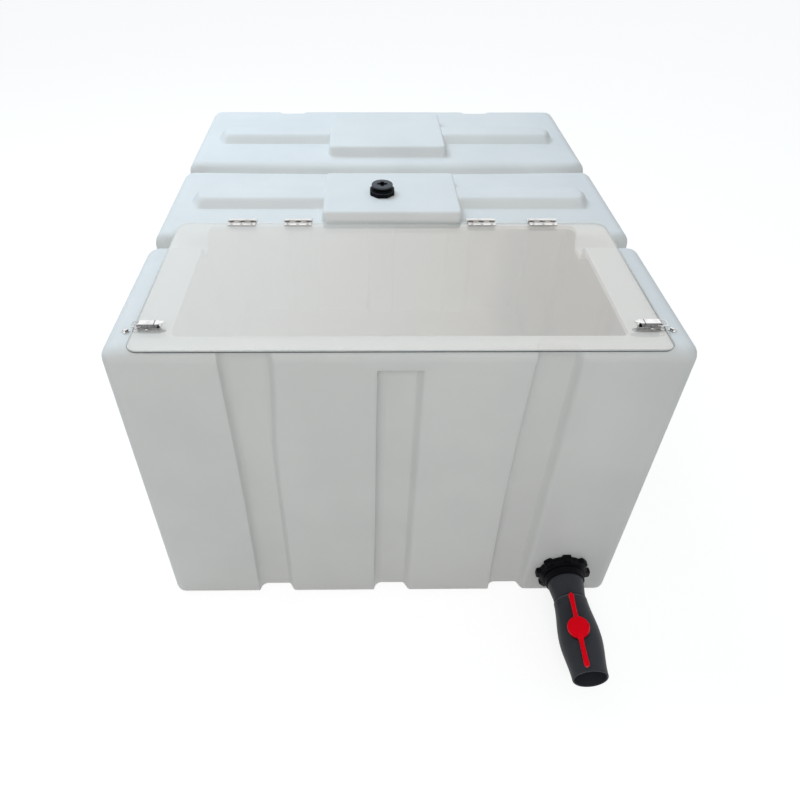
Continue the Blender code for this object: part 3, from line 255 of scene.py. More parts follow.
def pad_profile():
    """Height of a pad against the distance outside its foot line, rounded at the foot and the top."""
    path = fillet_path([(0.02, 0), (0, 0), (-PAD_DRAFT, PAD_HEIGHT), (-0.05, PAD_HEIGHT)],
                       (PAD_FOOT, PAD_EDGE), 4)
    return path[::-1, 0], path[::-1, 1]


PAD_OUT, PAD_UP = pad_profile()
PAD_LINES = PAD_OUT[1:-1]


def groove_table():
    """Stations across one groove: rounded lip, drafted wall, rounded floor, and back up."""
    turn = np.radians(np.linspace(90, 0, 7))
    lip_y = -GROOVE_HALF - GROOVE_LIP * (1 - np.cos(turn))
    lip_g = GROOVE_LIP * (1 - np.sin(turn))
    turn = np.radians(np.linspace(0, 90, 4))
    floor_y = -GROOVE_HALF + GROOVE_DRAFT + GROOVE_FLOOR * (1 - np.cos(turn))
    floor_g = GROOVE_DEPTH - GROOVE_FLOOR * (1 - np.sin(turn))
    y = np.concatenate([lip_y, floor_y, [0], -floor_y[::-1], -lip_y[::-1]])
    g = np.concatenate([lip_g, floor_g, [GROOVE_DEPTH], floor_g[::-1], lip_g[::-1]])
    return y, g


def shell_tables():
    """Places of the lattice: columns across, rows up, stations from front to rear with groove and turn."""
    corner = HALF_WIDTH - TOP_RADIUS + TOP_RADIUS * np.linspace(0, 1, 5)
    hatch = [HATCH_X - HATCH_CORNER * s for s in CORNER_STEPS]
    drain_steps = DRAIN_SQUARE * np.linspace(-1, 1, 7)
    vent_steps = VENT_SQUARE * np.linspace(-1, 1, 5)
    drain = DRAIN_PLACE[0] + drain_steps
    channel = mirrored(list(CHANNEL_HALF + LIP_STEPS) + [0.008])
    pads = list(PAD_HALF_WIDTH + PAD_LINES) + [PAD_HALF_WIDTH - PAD_CORNER * s for s in PAD_CORNER_STEPS]
    must = mirrored(list(corner) + hatch + pads) + [drain[0], drain[-1]] + list(VENT_PLACE[0] + vent_steps)
    fill = mirrored([CHANNELS[2] + c for c in channel]) + channel + list(drain)
    fill += mirrored(np.linspace(0.404, 0.4515, 11)) + mirrored(PLAIN_COLUMNS) + [0]
    columns = grid_lines(must, fill, LEAST_GAP)
    foot = FOOT_RADIUS * (1 - np.sin(np.radians(np.linspace(90, 0, 5))))
    rows = np.concatenate([foot, DRAIN_PLACE[1] + drain_steps, PLAIN_ROWS, CHANNEL_END + CHANNEL_TOP_STEPS,
                           HEIGHT - TOP_RADIUS * np.linspace(1, 0, 5)])
    rows = np.unique(np.round(rows, 6))
    end_turn = np.linspace(0, 90, 7)
    end_y = END_RADIUS * (1 - np.cos(np.radians(end_turn)))
    groove_y, groove_g = groove_table()
    must = [HATCH_Y[0] + HATCH_CORNER * s for s in CORNER_STEPS]
    must += [HATCH_Y[1] - HATCH_CORNER * s for s in CORNER_STEPS]
    must += list(VENT_PLACE[1] + vent_steps)
    for centre, half in PADS:
        for d in list(PAD_LINES) + [-PAD_CORNER * s for s in PAD_CORNER_STEPS]:
            must += [centre - half - d, centre + half + d]
    # A pad's foot line that all but meets the hatch's rear edge is left out
    must = [y for y in must if y < -0.148 or y > -0.1465 or y == HATCH_Y[1]]
    for centre in GROOVES:
        must += list(centre + groove_y)
    must += list(-HALF_DEPTH + end_y) + list(HALF_DEPTH - end_y)
    fill = [centre + s * d for centre in RIDGES for s in (-1, 1) for d in RIDGE_STEPS]
    fill += list(np.arange(-0.50, -0.26, 0.034)) + PLAIN_STATIONS
    stations = grid_lines(must, fill, LEAST_GAP)
    groove = np.zeros(len(stations))
    for centre in GROOVES:
        groove += np.interp(stations - centre, groove_y, groove_g, left=0, right=0)
    end = np.interp(HALF_DEPTH - np.abs(stations), end_y, np.radians(end_turn))
    return columns, rows, stations, groove, end


def channel_window(x, z, place):
    """Depth of a channel, as a share, against the distance from its middle. The left side drops from a
    crisp lip and runs out in a slope. The right side is drafted, with a soft lip and a rounded floor."""
    inside = CHANNEL_HALF - np.abs(x - place)
    side = inside / CHANNEL_SLOPE
    crisp = soft_min(inside / 0.20, 0.0075 + inside / 0.85, 0.004)
    crisp = soft_max(soft_min(crisp, np.full_like(x, CHANNEL_DEPTH), 0.008), np.zeros_like(x), 0.0035)
    soft = soft_max(soft_min(side, np.full_like(x, CHANNEL_DEPTH), 0.010), np.zeros_like(x), 0.013)
    depth = np.where(x < place, crisp, soft)
    share = depth / CHANNEL_DEPTH
    if place == 0:
        share = share * (1 - step(CHANNEL_END - 0.005, CHANNEL_END + 0.004, z))
    return share


def ridge_height(x, y, centre):
    """Hipped ridge: the lowest of a flat crest, two long slopes and a pointed end, softly joined."""
    side_slope, hip_slope, hip_across, hip_along = 2, 1.725, 0.911, 0.410
    away = np.abs(y - centre)
    side = side_slope * (RIDGE_HALF - away)
    hip = hip_slope * (hip_across * RIDGE_TIP - (hip_across * np.abs(x) + hip_along * away))
    form = soft_min(soft_min(side, hip, 0.006), np.full_like(x, RIDGE_HEIGHT), 0.007)
    return soft_max(form, np.zeros_like(x), 0.004)


def bend_round(a, b, centre, size, ring, fading, mask):
    """Turns the squares round a centre into circles, so that the square of half side size becomes the
    circle of radius ring. The bending fades between the two distances, and is only where mask is 1."""
    ru, rv, reach = round_square((a - centre[0]) / size, (b - centre[1]) / size)
    near, far = fading
    blend = (1 - step(near / size, far / size, reach)) * mask
    return a + (centre[0] + ru * ring - a) * blend, b + (centre[1] + rv * ring - b) * blend


def bend_lattice(x0, y0, z0, top, front_wall):
    """Bends the lattice round the corners of the hatch and the pads, and round the two holes."""
    x, y = x0, y0
    rounded = [(HATCH_X, *HATCH_Y, HATCH_CORNER, HATCH_BEND)]
    rounded += [(PAD_HALF_WIDTH, centre - half, centre + half, PAD_CORNER, PAD_BEND) for centre, half in PADS]
    for half_x, front_y, rear_y, corner, fading in rounded:
        for sign_x, sign_y, edge in ((-1, -1, front_y), (-1, 1, rear_y), (1, -1, front_y), (1, 1, rear_y)):
            cx, cy = sign_x * (half_x - corner), edge - sign_y * corner
            quarter = top * (sign_x * (x0 - cx) >= 0) * (sign_y * (y0 - cy) >= 0)
            x, y = bend_round(x, y, (cx, cy), corner, corner, fading, quarter)
    x, y = bend_round(x, y, VENT_PLACE, VENT_SQUARE, VENT_HOLE, VENT_BEND, top)
    x, z = bend_round(x, z0, DRAIN_PLACE, DRAIN_SQUARE, DRAIN_HOLE, DRAIN_BEND, front_wall)
    return x, y, z


def lip_bow(x, z):
    """Sideways shift of three channel lips: a bell across the lip, and an arch or an S-curve up it."""
    arch = np.sin(np.pi * np.clip(z / HEIGHT, 0, 1))
    lips = ((CHANNELS[0] - CHANNEL_HALF, 0.0035, arch),
            (CHANNELS[0] + CHANNEL_HALF, 0.013, step(0.42, 0.70, z)),
            (CHANNELS[2] - CHANNEL_HALF, -0.006, arch))
    return sum(amount * np.exp(-((x - lip) / 0.021) ** 2) * along for lip, amount, along in lips)


def crease_shade_lines(x, z):
    """Painted shade: 1 on a thin line along each left lip and on one along the middle channel's top edge:
    a bell across each line."""
    crease_shade = np.exp(-((z - CHANNEL_END - 0.001) / 0.0035) ** 2) * (np.abs(x) < CHANNEL_HALF)
    for place in CHANNELS:
        low = z < (CHANNEL_END if place == 0 else HEIGHT)
        crease_shade = crease_shade + low * np.exp(-((x - place + CHANNEL_HALF + 0.0008) / 0.0018) ** 2)
    return crease_shade


def top_lift(x, y, x0, y0):
    """Height of the pads and ridges, the highest of them at each point."""
    lift = np.zeros_like(x)
    for centre, half in PADS:
        out = np.maximum(np.abs(x0) - PAD_HALF_WIDTH, np.abs(y0 - centre) - half)
        lift = np.maximum(lift, np.interp(out, PAD_OUT, PAD_UP))
    for centre in RIDGES:
        lift = np.maximum(lift, ridge_height(x, y, centre))
    return lift


def shell_cells(index, columns, rows, stations):
    """The faces of the lattice's surface, without those over the hatch and the two round holes."""
    middle_x, middle_y, middle_z = ((lines[:-1] + lines[1:]) / 2 for lines in (columns, stations, rows))

    def opening(a, b, low_a, high_a, low_b, high_b):
        return (((a > low_a) & (a < high_a))[:, None] & ((b > low_b) & (b < high_b))[None]).ravel()

    def square(place, half):
        return place[0] - half, place[0] + half, place[1] - half, place[1] + half

    in_hatch = opening(middle_x, middle_y, -HATCH_X, HATCH_X, *HATCH_Y)
    in_vent = opening(middle_x, middle_y, *square(VENT_PLACE, VENT_SQUARE))
    in_drain = opening(middle_x, middle_z, *square(DRAIN_PLACE, DRAIN_SQUARE))
    return np.concatenate([cell_faces(index[:, -1, :])[~(in_hatch | in_vent)],
                           cell_faces(index[:, :, 0])[~in_drain],
                           cell_faces(index[:, :, -1])[:, ::-1],
                           cell_faces(index[0].T)[:, ::-1],
                           cell_faces(index[-1].T)])


def shell_skin():
    """The tank's outside as the surface of a lattice of columns, rows and stations. Each point starts on a
    box with rounded edges, then the grooves, channels, pads and ridges shift it."""
    columns, rows, stations, groove, end = shell_tables()
    index = np.zeros((len(columns), len(rows), len(stations)), int)
    skin = np.zeros(index.shape, bool)
    skin[[0, -1], :, :] = True
    skin[:, -1, :] = True
    skin[:, :, [0, -1]] = True
    index[skin] = np.arange(skin.sum())
    i, j, k = np.nonzero(skin)
    x0, z0, y0, g, turn = columns[i], rows[j], stations[k], groove[k], end[k]
    front = np.where(y0 < 0, -1.0, 1.0)
    inward = HALF_DEPTH - np.abs(y0)
    top = (j == len(rows) - 1).astype(float)
    x, y, z = bend_lattice(x0, y0, z0, top, (k == 0) * (x0 > 0.2))

    # Channels run out through the rims, except the middle one
    share = sum(channel_window(x, z, place) for place in CHANNELS)
    bow = lip_bow(x, z) * (y0 < 0) * np.clip((CHANNEL_REACH - inward) / 0.008, 0, 1)
    rim = END_RADIUS - CHANNEL_RIM
    fade = np.clip((CHANNEL_REACH - inward) / 0.014, 0, 1)
    share_in = share * (CHANNEL_DEPTH - rim * (1 - np.cos(turn))) * fade
    share_up = share * rim * (1 - np.sin(turn)) * fade * step(0.56, 0.69, z0) * (np.abs(x) >= 0.1)

    # Body with rounded edges, drawn in by the grooves
    edge = END_RADIUS * (1 - np.sin(turn))
    zone_x, zone_z = HALF_WIDTH - TOP_RADIUS, HEIGHT - TOP_RADIUS
    cx, cz, _ = round_square(np.clip((np.abs(x0) - zone_x) / TOP_RADIUS, 0, 1),
                             np.clip((z0 - zone_z) / TOP_RADIUS, 0, 1))
    below = np.maximum(FOOT_RADIUS - z0, 0)
    drop = FOOT_RADIUS - np.sqrt(FOOT_RADIUS ** 2 - below ** 2)
    drawn_x = g * np.clip((np.abs(x0) - GROOVE_FROM[0]) / (zone_x - GROOVE_FROM[0]), 0, 1)
    drawn_z = g * np.clip((z0 - GROOVE_FROM[1]) / (zone_z - GROOVE_FROM[1]), 0, 1)
    side = (np.minimum(np.abs(x), zone_x) - drawn_x + (TOP_RADIUS - edge) * cx
            - drop * np.sin(turn) * (np.abs(x0) > HALF_WIDTH - 1e-6))
    px = np.sign(x) * side + bow
    py = y - front * (drop * np.cos(turn) + share_in)
    pz = np.minimum(z, zone_z) - drawn_z + (TOP_RADIUS - edge) * cz + share_up

    # Pads and ridges stand on the top, which sags a little at the rear groove
    lift = top_lift(x, y, x0, y0) * top
    sag = SAG_DEPTH * (1 - (px / HALF_WIDTH) ** 2) * np.exp(-((y0 - GROOVES[1]) / SAG_REACH) ** 2)
    points = np.stack([px, py, pz + lift - top * sag], 1)
    # painted shade along the channels' left lips and the middle channel's top edge
    crease_shade = np.clip(crease_shade_lines(x, z) * fade * (y0 < 0), 0, 1)
    underside = np.concatenate([index[:, 0, 0], index[-1, 0, 1:], index[-2::-1, 0, -1], index[0, 0, -2:0:-1]])
    faces = shell_cells(index, columns, rows, stations)
    return points, faces, underside[::-1], (j == 0), np.maximum(lift / PAD_HEIGHT, 0), crease_shade


def point_normals(points, faces):
    """Outward direction at each point: the cross products of its faces' diagonals, summed."""
    a, b, c, d = (points[faces[:, n]] for n in range(4))
    across = np.cross(c - a, d - b)
    normals = np.zeros_like(points)
    for n in range(4):
        np.add.at(normals, faces[:, n], across)
    return normals / np.maximum(np.linalg.norm(normals, axis=1, keepdims=True), 1e-12)


def open_edges(faces):
    """The directed edges that only one face has."""
    start, end = faces.ravel(), np.roll(faces, -1, axis=1).ravel()
    size = faces.max() + 1
    forward = start * size + end
    lonely = ~np.isin(forward, end * size + start)
    return np.stack([start[lonely], end[lonely]], 1)


def shell_mesh():
    """Outside skin, the same skin moved inwards by the wall, and a rim of faces round every opening."""
    points, faces, underside, foot, raised, crease_shade = shell_skin()
    used = np.unique(faces)
    renumber = np.zeros(len(points), int)
    renumber[used] = np.arange(len(used))
    points, foot, raised, crease_shade = points[used], foot[used], raised[used], crease_shade[used]
    faces, underside = renumber[faces], renumber[underside]
    normals = point_normals(points, faces)
    normals[foot] = (0, 0, -1)
    wall = WALL + (THIN_WALL - WALL) * np.clip(raised * 4, 0, 1)
    inner = points - normals * wall[:, None]
    count = len(points)
    edges = open_edges(faces)
    edges = edges[~(foot[edges[:, 0]] & foot[edges[:, 1]])]
    rim = np.stack([edges[:, 1], edges[:, 0], edges[:, 0] + count, edges[:, 1] + count], 1)
    quads = np.concatenate([faces, faces[:, ::-1] + count, rim])
    mesh = make_mesh("tank_shell_moulding", np.concatenate([points, inner]), quads,
                     [underside, underside[::-1] + count])
    paint(mesh, "crease_shade", np.concatenate([crease_shade, np.zeros(count)]))
    paint(mesh, "inner", np.concatenate([np.zeros(count), np.ones(count)]))
    return mesh


# Forms that the fittings are made of: points, four-cornered faces and longer faces

def frame_matrix(place, *turns):
    """A place and the turns made there, each an axis and an angle in degrees, as one matrix."""
    matrix = Matrix.Translation(place)
    for axis, angle in turns:
        matrix = matrix @ Matrix.Rotation(math.radians(angle), 4, axis)
    return np.array(matrix)


def placed(form, matrix):
    """The form turned and moved by a matrix."""
    points, quads, polygons = form
    return points @ matrix[:3, :3].T + matrix[:3, 3], quads, polygons


def merged(forms):
    """Several forms as one."""
    points, quads, polygons, start = [], [], [], 0
    for form_points, form_quads, form_polygons in forms:
        points.append(form_points)
        quads.append(form_quads + start)
        polygons += [np.asarray(polygon) + start for polygon in form_polygons]
        start += len(form_points)
    return np.concatenate(points), np.concatenate(quads), polygons


def round_loop(corners, radii, steps=3):
    """Closed outline with each corner replaced by an arc tangent to both its sides."""
    corners = [np.array(corner, float) for corner in corners]
    found = []
    for n, (corner, radius) in enumerate(zip(corners, radii)):
        if radius == 0:
            found.append(corner[None])
            continue
        path = fillet_path([corners[n - 1], corner, corners[(n + 1) % len(corners)]], (radius,), steps)
        found.append(path[1:-1])
    return np.concatenate(found)


def turned_form(outline, count, bend=None):
    """Carries a closed outline of (distance, height) round the axis. The outline runs up its outer side.
    bend may change distance and height with the angle."""
    angle = 2 * np.pi * np.arange(count) / count
    distance = outline[:, 0][:, None] * np.ones(count)
    height = outline[:, 1][:, None] * np.ones(count)
    if bend:
        distance, height = bend(distance, height, angle[None] * np.ones((len(outline), 1)))
    points = np.stack([distance * np.cos(angle), distance * np.sin(angle), height], -1).reshape(-1, 3)
    index = np.arange(len(points)).reshape(len(outline), count)
    index = np.concatenate([index, index[:1]])
    index = np.concatenate([index, index[:, :1]], 1)
    return points, cell_faces(index)[:, ::-1], []


def headed_form(lines, square, height, rings):
    """Head seen from above: a lattice of lines, square in the middle and round at its rim, where height
    gives the height of each point; rings of (distance, height) carry the rim down to a flat end."""
    u, v = np.meshgrid(lines, lines, indexing="ij")
    rx, ry, reach = round_square(u, v)
    blend = step(square, lines[-1], reach)
    x, y = u + (rx - u) * blend, v + (ry - v) * blend
    points = [np.stack([x, y, height(x, y)], -1).reshape(-1, 3)]
    index = np.arange(u.size).reshape(u.shape)
    quads = [cell_faces(index)]
    loop = np.concatenate([index[:, 0], index[-1, 1:], index[-2::-1, -1], index[0, -2:0:-1]])
    angle = np.arctan2(points[0][loop, 1], points[0][loop, 0])
    count = u.size
    for distance, level in rings:
        points.append(np.stack([distance * np.cos(angle), distance * np.sin(angle),
                                np.full(len(angle), level)], -1))
        below = count + np.arange(len(angle))
        quads.append(np.stack([below, np.roll(below, -1), np.roll(loop, -1), loop], -1))
        loop, count = below, count + len(angle)
    return np.concatenate(points), np.concatenate(quads), [loop[::-1]]


def lofted_form(rings):
    """Skin over equal closed rings of points, with a flat face on each end. The rings run
    anticlockwise when seen against the way they are stacked."""
    rows, count = rings.shape[:2]
    index = np.arange(rows * count).reshape(rows, count)
    index = np.concatenate([index, index[:, :1]], 1)
    return rings.reshape(-1, 3), cell_faces(index)[:, ::-1], [index[0, :-1][::-1], index[-1, :-1]]


def swept_wire(path, radius, count=12):
    """A round wire along a path: at each point a circle stands square to the path's direction."""
    along = np.gradient(path, axis=0)
    along /= np.linalg.norm(along, axis=1, keepdims=True)
    side = np.cross(along, (0, 0, 1))
    side /= np.linalg.norm(side, axis=1, keepdims=True)
    up = np.cross(side, along)
    angle = 2 * np.pi * np.arange(count) / count
    rings = (path[:, None] + radius * (np.cos(angle)[None, :, None] * side[:, None]
                                       + np.sin(angle)[None, :, None] * up[:, None]))
    return lofted_form(rings[:, ::-1])


# Fittings

def cross_inside(x, y, arm, span):
    """1 inside a cross of two bars, 0 outside, judged at the middle of the bars' steep sides."""
    bar_x = (np.abs(x) < span) & (np.abs(y) < arm)
    bar_y = (np.abs(y) < span) & (np.abs(x) < arm)
    return (bar_x | bar_y).astype(float)


def screw_head(radius, rise):
    """Low domed screw head with a cross recess."""
    arm, span = 0.17 * radius, 0.62 * radius
    half = np.array([0, arm - 0.00004, arm + 0.00008, 0.36 * radius, span - 0.00004, span + 0.00008,
                     0.80 * radius, 0.93 * radius])
    lines = np.concatenate([-half[:0:-1], half])

    def height(x, y):
        dome = rise * (1 - 0.55 * (x ** 2 + y ** 2) / radius ** 2)
        return dome - 0.75 * rise * cross_inside(x, y, arm, span)

    return headed_form(lines, span + 0.0001, height, [(radius, 0.22 * rise), (radius, -0.00015)])


def lug_nut():
    """Drain nut: round body with a sloped shoulder and a low collar; eight lugs push the body out
    to their reach, with steep sides and rounded ends."""
    lug_reach, lug_side = 0.0600, np.radians((8.0, 12.5))
    rows = np.array([(0.0429, 0, 0.0004), (0.0522, 0.93, 0.0004), (0.0530, 1, 0.0012), (0.0530, 1, 0.0060),
                     (0.0530, 1, 0.0108), (0.0524, 0.985, 0.0117), (0.0510, 0.95, 0.0127),
                     (0.0490, 0.86, 0.0134), (0.0486, 0.05, 0.0139), (0.0484, 0, 0.0150), (0.0484, 0, 0.0174),
                     (0.0476, 0, 0.0183), (0.0436, 0, 0.0183), (0.0429, 0, 0.0177)])
    push = rows[:, 1][:, None]

    def bend(distance, height, angle):
        away = np.abs((angle + np.pi / 8) % (np.pi / 4) - np.pi / 8)
        return distance + push * (1 - step(*lug_side, away)) * (lug_reach - distance), height

    return turned_form(rows[:, [0, 2]], 192, bend)


def threaded_barrel():
    """Drain barrel with its flange inside the tank: the part outside the nut carries a thread, a wave
    of the distance that climbs one pitch a turn and fades at both ends."""
    pitch, depth, low, high, barrel = 0.0026, 0.0009, 0.0170, 0.0325, 0.0425
    thread = np.linspace(low, high, 49)
    outline = np.concatenate([[(0.0265, -0.0196), (0.0548, -0.0196), (0.0560, -0.0184), (0.0560, -0.0118),
                               (0.0556, -0.0114), (barrel, -0.0114)],
                              np.stack([np.full(len(thread), barrel), thread], 1),
                              [(0.0413, 0.0333), (0.0384, 0.0333), (0.0378, 0.0327), (0.0378, 0.0063),
                               (0.0265, 0.0063)]])

    def bend(distance, height, angle):
        wave = 0.5 - 0.5 * np.cos(2 * np.pi * height / pitch - angle)
        cut = depth * wave * step(low, low + pitch, height) * (1 - step(high - 0.001, high, height))
        return distance - cut * (np.abs(distance - barrel) < 1e-6), height

    return turned_form(outline, 96, bend)


def adapter_form():
    """Adapter: collar, long taper to its neck, and a spigot inside the valve."""
    corners = [(0.0265, 0.0066), (0.0375, 0.0066), (0.0375, 0.0336), (0.0387, 0.0336), (0.0387, 0.0382),
               (0.0343, 0.0682), (0.0339, 0.0779), (0.0312, 0.0779), (0.0312, 0.1058), (0.0265, 0.1058)]
    radii = (0.0005, 0.0005, 0, 0.0006, 0.012, 0.02, 0.0008, 0, 0.0008, 0.0005)
    return turned_form(round_loop(corners, radii, 4), 96)


def valve_radius(z):
    """Outside of the valve: a raised cosine from each socket to the bulge round the ball."""
    socket, swell = 0.0355, 0.0077
    share = np.clip(np.abs(z - BALL) / np.where(z < BALL, BALL, VALVE_LENGTH - BALL), 0, 1)
    return socket + swell * (0.5 + 0.5 * np.cos(np.pi * share))


def valve_form():
    """Valve body: the bulged outside, rounded end rims, and a stepped passage for sockets, seats and ball."""
    z = np.linspace(0.0024, 0.1656, 48)
    inner = [(0.0316, 0.1668), (0.0316, 0.1410), (0.0255, 0.1410), (0.0255, 0.1133), (0.0308, 0.1133),
             (0.0308, 0.1001), (0.0346, 0.1001), (0.0346, 0.0739), (0.0308, 0.0739), (0.0308, 0.0607),
             (0.0255, 0.0607), (0.0255, 0.0270), (0.0316, 0.0270), (0.0316, 0.0012)]
    start = [(0.0326, 0.0), (0.0340, 0.0), (0.0354, 0.0012)]
    finish = [(0.0353, 0.1670), (0.0345, 0.1680), (0.0325, 0.1680)]
    return turned_form(np.concatenate([start, np.stack([valve_radius(z), z], 1), finish, inner]), 96)


def handle_form():
    """Handle: a round hub that flows into two arms. Each cross-section is a rounded bar whose half width
    follows the hub's circle and the arm's taper, softly joined, and the hub stands a little higher."""
    hub, reach, tip, root, flare = 0.0207, 0.0775, 0.0055, 0.0080, 0.0030
    front_arm, rear_arm = 0.985, 1.030
    arm_under, arm_top, hub_under, hub_rise, rim = 0.0482, 0.0563, 0.0004, 0.0037, 0.0022
    t = np.linspace(-1, 1, 121)
    s = reach * np.sin(t * np.pi / 2) * 0.35 + reach * t * 0.65
    s = np.clip(s, -reach + 0.00003, reach - 0.00003)
    along = np.where(s > 0, s * front_arm, s * rear_arm)
    circle = np.sqrt(np.maximum(hub ** 2 - s ** 2, 0))
    arm = (root + flare * (s / reach) ** 2) / 2
    fillet = 0.009 * np.maximum(1 - np.abs(s) / 0.045, 0)
    half = (circle + arm + np.sqrt((circle - arm) ** 2 + fillet ** 2)) / 2
    half = half * np.sqrt(np.maximum(1 - (np.maximum(np.abs(s) - (reach - tip), 0) / tip) ** 2, 0.0004))
    raised = 1 - step(hub - 0.001, hub + 0.008, np.abs(s))
    low = arm_under - hub_under * raised
    high = arm_top + hub_rise * raised
    corner = np.minimum(rim, half * 0.9)
    turn = np.linspace(0, np.pi / 2, 6)
    sides = []
    for sign_x, sign_z, order in ((1, -1, turn[::-1]), (1, 1, turn), (-1, 1, turn[::-1]), (-1, -1, turn)):
        x = sign_x * (half[:, None] - corner[:, None] * (1 - np.cos(order)[None]))
        edge = (high if sign_z > 0 else low)[:, None]
        drop = corner[:, None] * (1 - np.sin(order)[None])
        sides.append(np.stack([x, along[:, None] * np.ones_like(x), edge - sign_z * drop], -1))
    return lofted_form(np.concatenate(sides, 1))


def octagon_nut():
    """Vent nut: an octagon whose corners are turned off at the top, and a round collar on it."""
    corner = 0.0288
    flat = corner * math.cos(math.pi / 8)
    rows = np.array([(0.0190, 0.0004, 0), (0.0279, 0.0004, 1), (corner, 0.0014, 1), (corner, 0.0088, 1),
                     (0.0280, 0.0099, 1), (0.0264, 0.0106, 1), (0.0241, 0.0108, 0), (0.0240, 0.0112, 0),
                     (0.0240, 0.0125, 0), (0.0233, 0.0133, 0), (0.0194, 0.0133, 0), (0.0189, 0.0128, 0)])

    def bend(distance, height, angle):
        away = (angle + np.pi / 8) % (np.pi / 4) - np.pi / 8
        eight = np.minimum(flat / np.cos(away), distance)
        return np.where(rows[:, 2][:, None] > 0, eight, distance), height

    return turned_form(rows[:, :2], 128, bend)


def plug_form():
    """Vent plug: a disc with a cross recess for a key, a turned edge and a plain stem."""
    top, under, foot = 0.0221, 0.0168, -0.0072
    arm, span, depth = 0.0037, 0.0100, 0.0080
    half = np.array([0, 0.0016, arm - 0.0001, arm + 0.0002, 0.0055, 0.0075, span - 0.0001, span + 0.0002,
                     0.0130, 0.0155, 0.0182, 0.0202, 0.0218])
    lines = np.concatenate([-half[:0:-1], half])

    def height(x, y):
        away = np.sqrt(x ** 2 + y ** 2)
        turned = 0.0005 * step(0.0162, 0.0184, away) * (1 - step(0.0192, 0.0210, away))
        return top - depth * cross_inside(x, y, arm, span) - turned

    return headed_form(lines, span + 0.0004, height,
                       [(0.0227, top - 0.0003), (0.0231, top - 0.0010), (0.0231, under + 0.0006),
                        (0.0226, under), (0.0129, under), (0.0129, foot + 0.0010), (0.0119, foot)])


def valve_collar():
    """Collar on the valve under the handle's hub. It is black, partly as painted shade under the hub."""
    corners = [(0.0087, 0.0370), (0.0203, 0.0370), (0.0203, 0.0474), (0.0087, 0.0474)]
    return turned_form(round_loop(corners, (0, 0, 0.0010, 0.0003)), 64)


def vent_barrel():
    """Vent barrel with its flange under the pad."""
    corners = [(0.0132, -0.0161), (0.0270, -0.0161), (0.0270, -0.0111), (0.0185, -0.0111), (0.0185, 0.0147),
               (0.0132, 0.0147)]
    return turned_form(round_loop(corners, (0.0005, 0.001, 0.001, 0.0002, 0.001, 0.0004)), 96)


def lid_sheet():
    """Flat sheet with rounded corners. Its outline is carried over a rounded edge from the underside
    to the top; the first strip of faces is the edge."""
    x, front, back, corner, low, high = 0.450, -0.580, -0.140, 0.022, 0.7153, 0.7203
    turn = np.linspace(0, np.pi / 2, 10)
    places = [(x - corner, back - corner), (-x + corner, back - corner),
              (-x + corner, front + corner), (x - corner, front + corner)]
    edge = 0.0007
    inset = np.array([edge, edge * 0.3, 0, 0, edge * 0.3, edge])
    level = np.array([low, low + edge * 0.3, low + edge, high - edge, high - edge * 0.3, high])
    angle = np.concatenate([turn + n * np.pi / 2 for n in range(4)])
    middle = np.repeat(places, len(turn), 0)
    flat = middle + (corner - inset)[:, None, None] * np.stack([np.cos(angle), np.sin(angle)], 1)
    rings = np.concatenate([flat, level[:, None, None] * np.ones((1, len(angle), 1))], 2)
    return lofted_form(rings[:, ::-1])


def loop_form():
    """Wire loop of a latch: in from one cheek, along, round the front and back to the other cheek."""
    end, leg, reach, corner, bend, wire = 0.0057, 0.0081, 0.0167, 0.0036, 0.0012, 0.0009
    first = np.linspace(np.pi, np.pi / 2, 6)
    second = np.linspace(np.pi / 2, 0, 9)
    half = np.concatenate([[(0, end), (0, end + 0.0008)],
                           np.stack([bend + bend * np.cos(first), leg - bend + bend * np.sin(first)], 1),
                           [(0.005, leg), (0.009, leg)],
                           np.stack([reach - corner + corner * np.cos(second),
                                     leg - corner + corner * np.sin(second)], 1), [(reach, 0.002)]])
    path = np.concatenate([half, (half * (1, -1))[::-1]])
    return swept_wire(np.concatenate([path, np.zeros((len(path), 1))], 1), wire)


def softened(node, width=0.00022):
    """A copy of a node's mesh with its points merged, so that its edges can be softly rounded."""
    mesh = nodes[node].data.copy()
    work = bmesh.new()
    work.from_mesh(mesh)
    bmesh.ops.remove_doubles(work, verts=work.verts, dist=0.000002)
    bmesh.ops.dissolve_limit(work, angle_limit=math.radians(0.5), verts=work.verts, edges=work.edges)
    work.to_mesh(mesh)
    work.free()
    mesh.materials.clear()
    mesh.shade_smooth()
    finish = finishes["lever_steel" if node.endswith("lever") else slot_of(node)]
    piece = add_piece(node + "_sheet", mesh, finish, body_of[node], slot_of(node), [node])
    rounded = piece.modifiers.new("rounded_edges", "BEVEL")
    rounded.width = width
    rounded.segments = 2
    rounded.limit_method = "ANGLE"
    rounded.angle_limit = math.radians(40)
    rounded.harden_normals = False
    return piece


# Materials

class Value:
    """A number in a material. Its sums, differences, products and powers are Math nodes."""

    def __init__(self, finish, socket):
        self.finish, self.socket = finish, socket

    def math(self, operation, first, second):
        return self.finish.node("ShaderNodeMath", {"operation": operation}, {0: first, 1: second})

    def __add__(self, other):
        return self.math("ADD", self, other)

    def __radd__(self, other):
        return self.math("ADD", other, self)

    def __sub__(self, other):
        return self.math("SUBTRACT", self, other)

    def __rsub__(self, other):
        return self.math("SUBTRACT", other, self)

    def __mul__(self, other):
        return self.math("MULTIPLY", self, other)

    def __rmul__(self, other):
        return self.math("MULTIPLY", other, self)

    def __pow__(self, other):
        return self.math("POWER", self, other)

    def __abs__(self):
        return self.math("ABSOLUTE", self, 0)


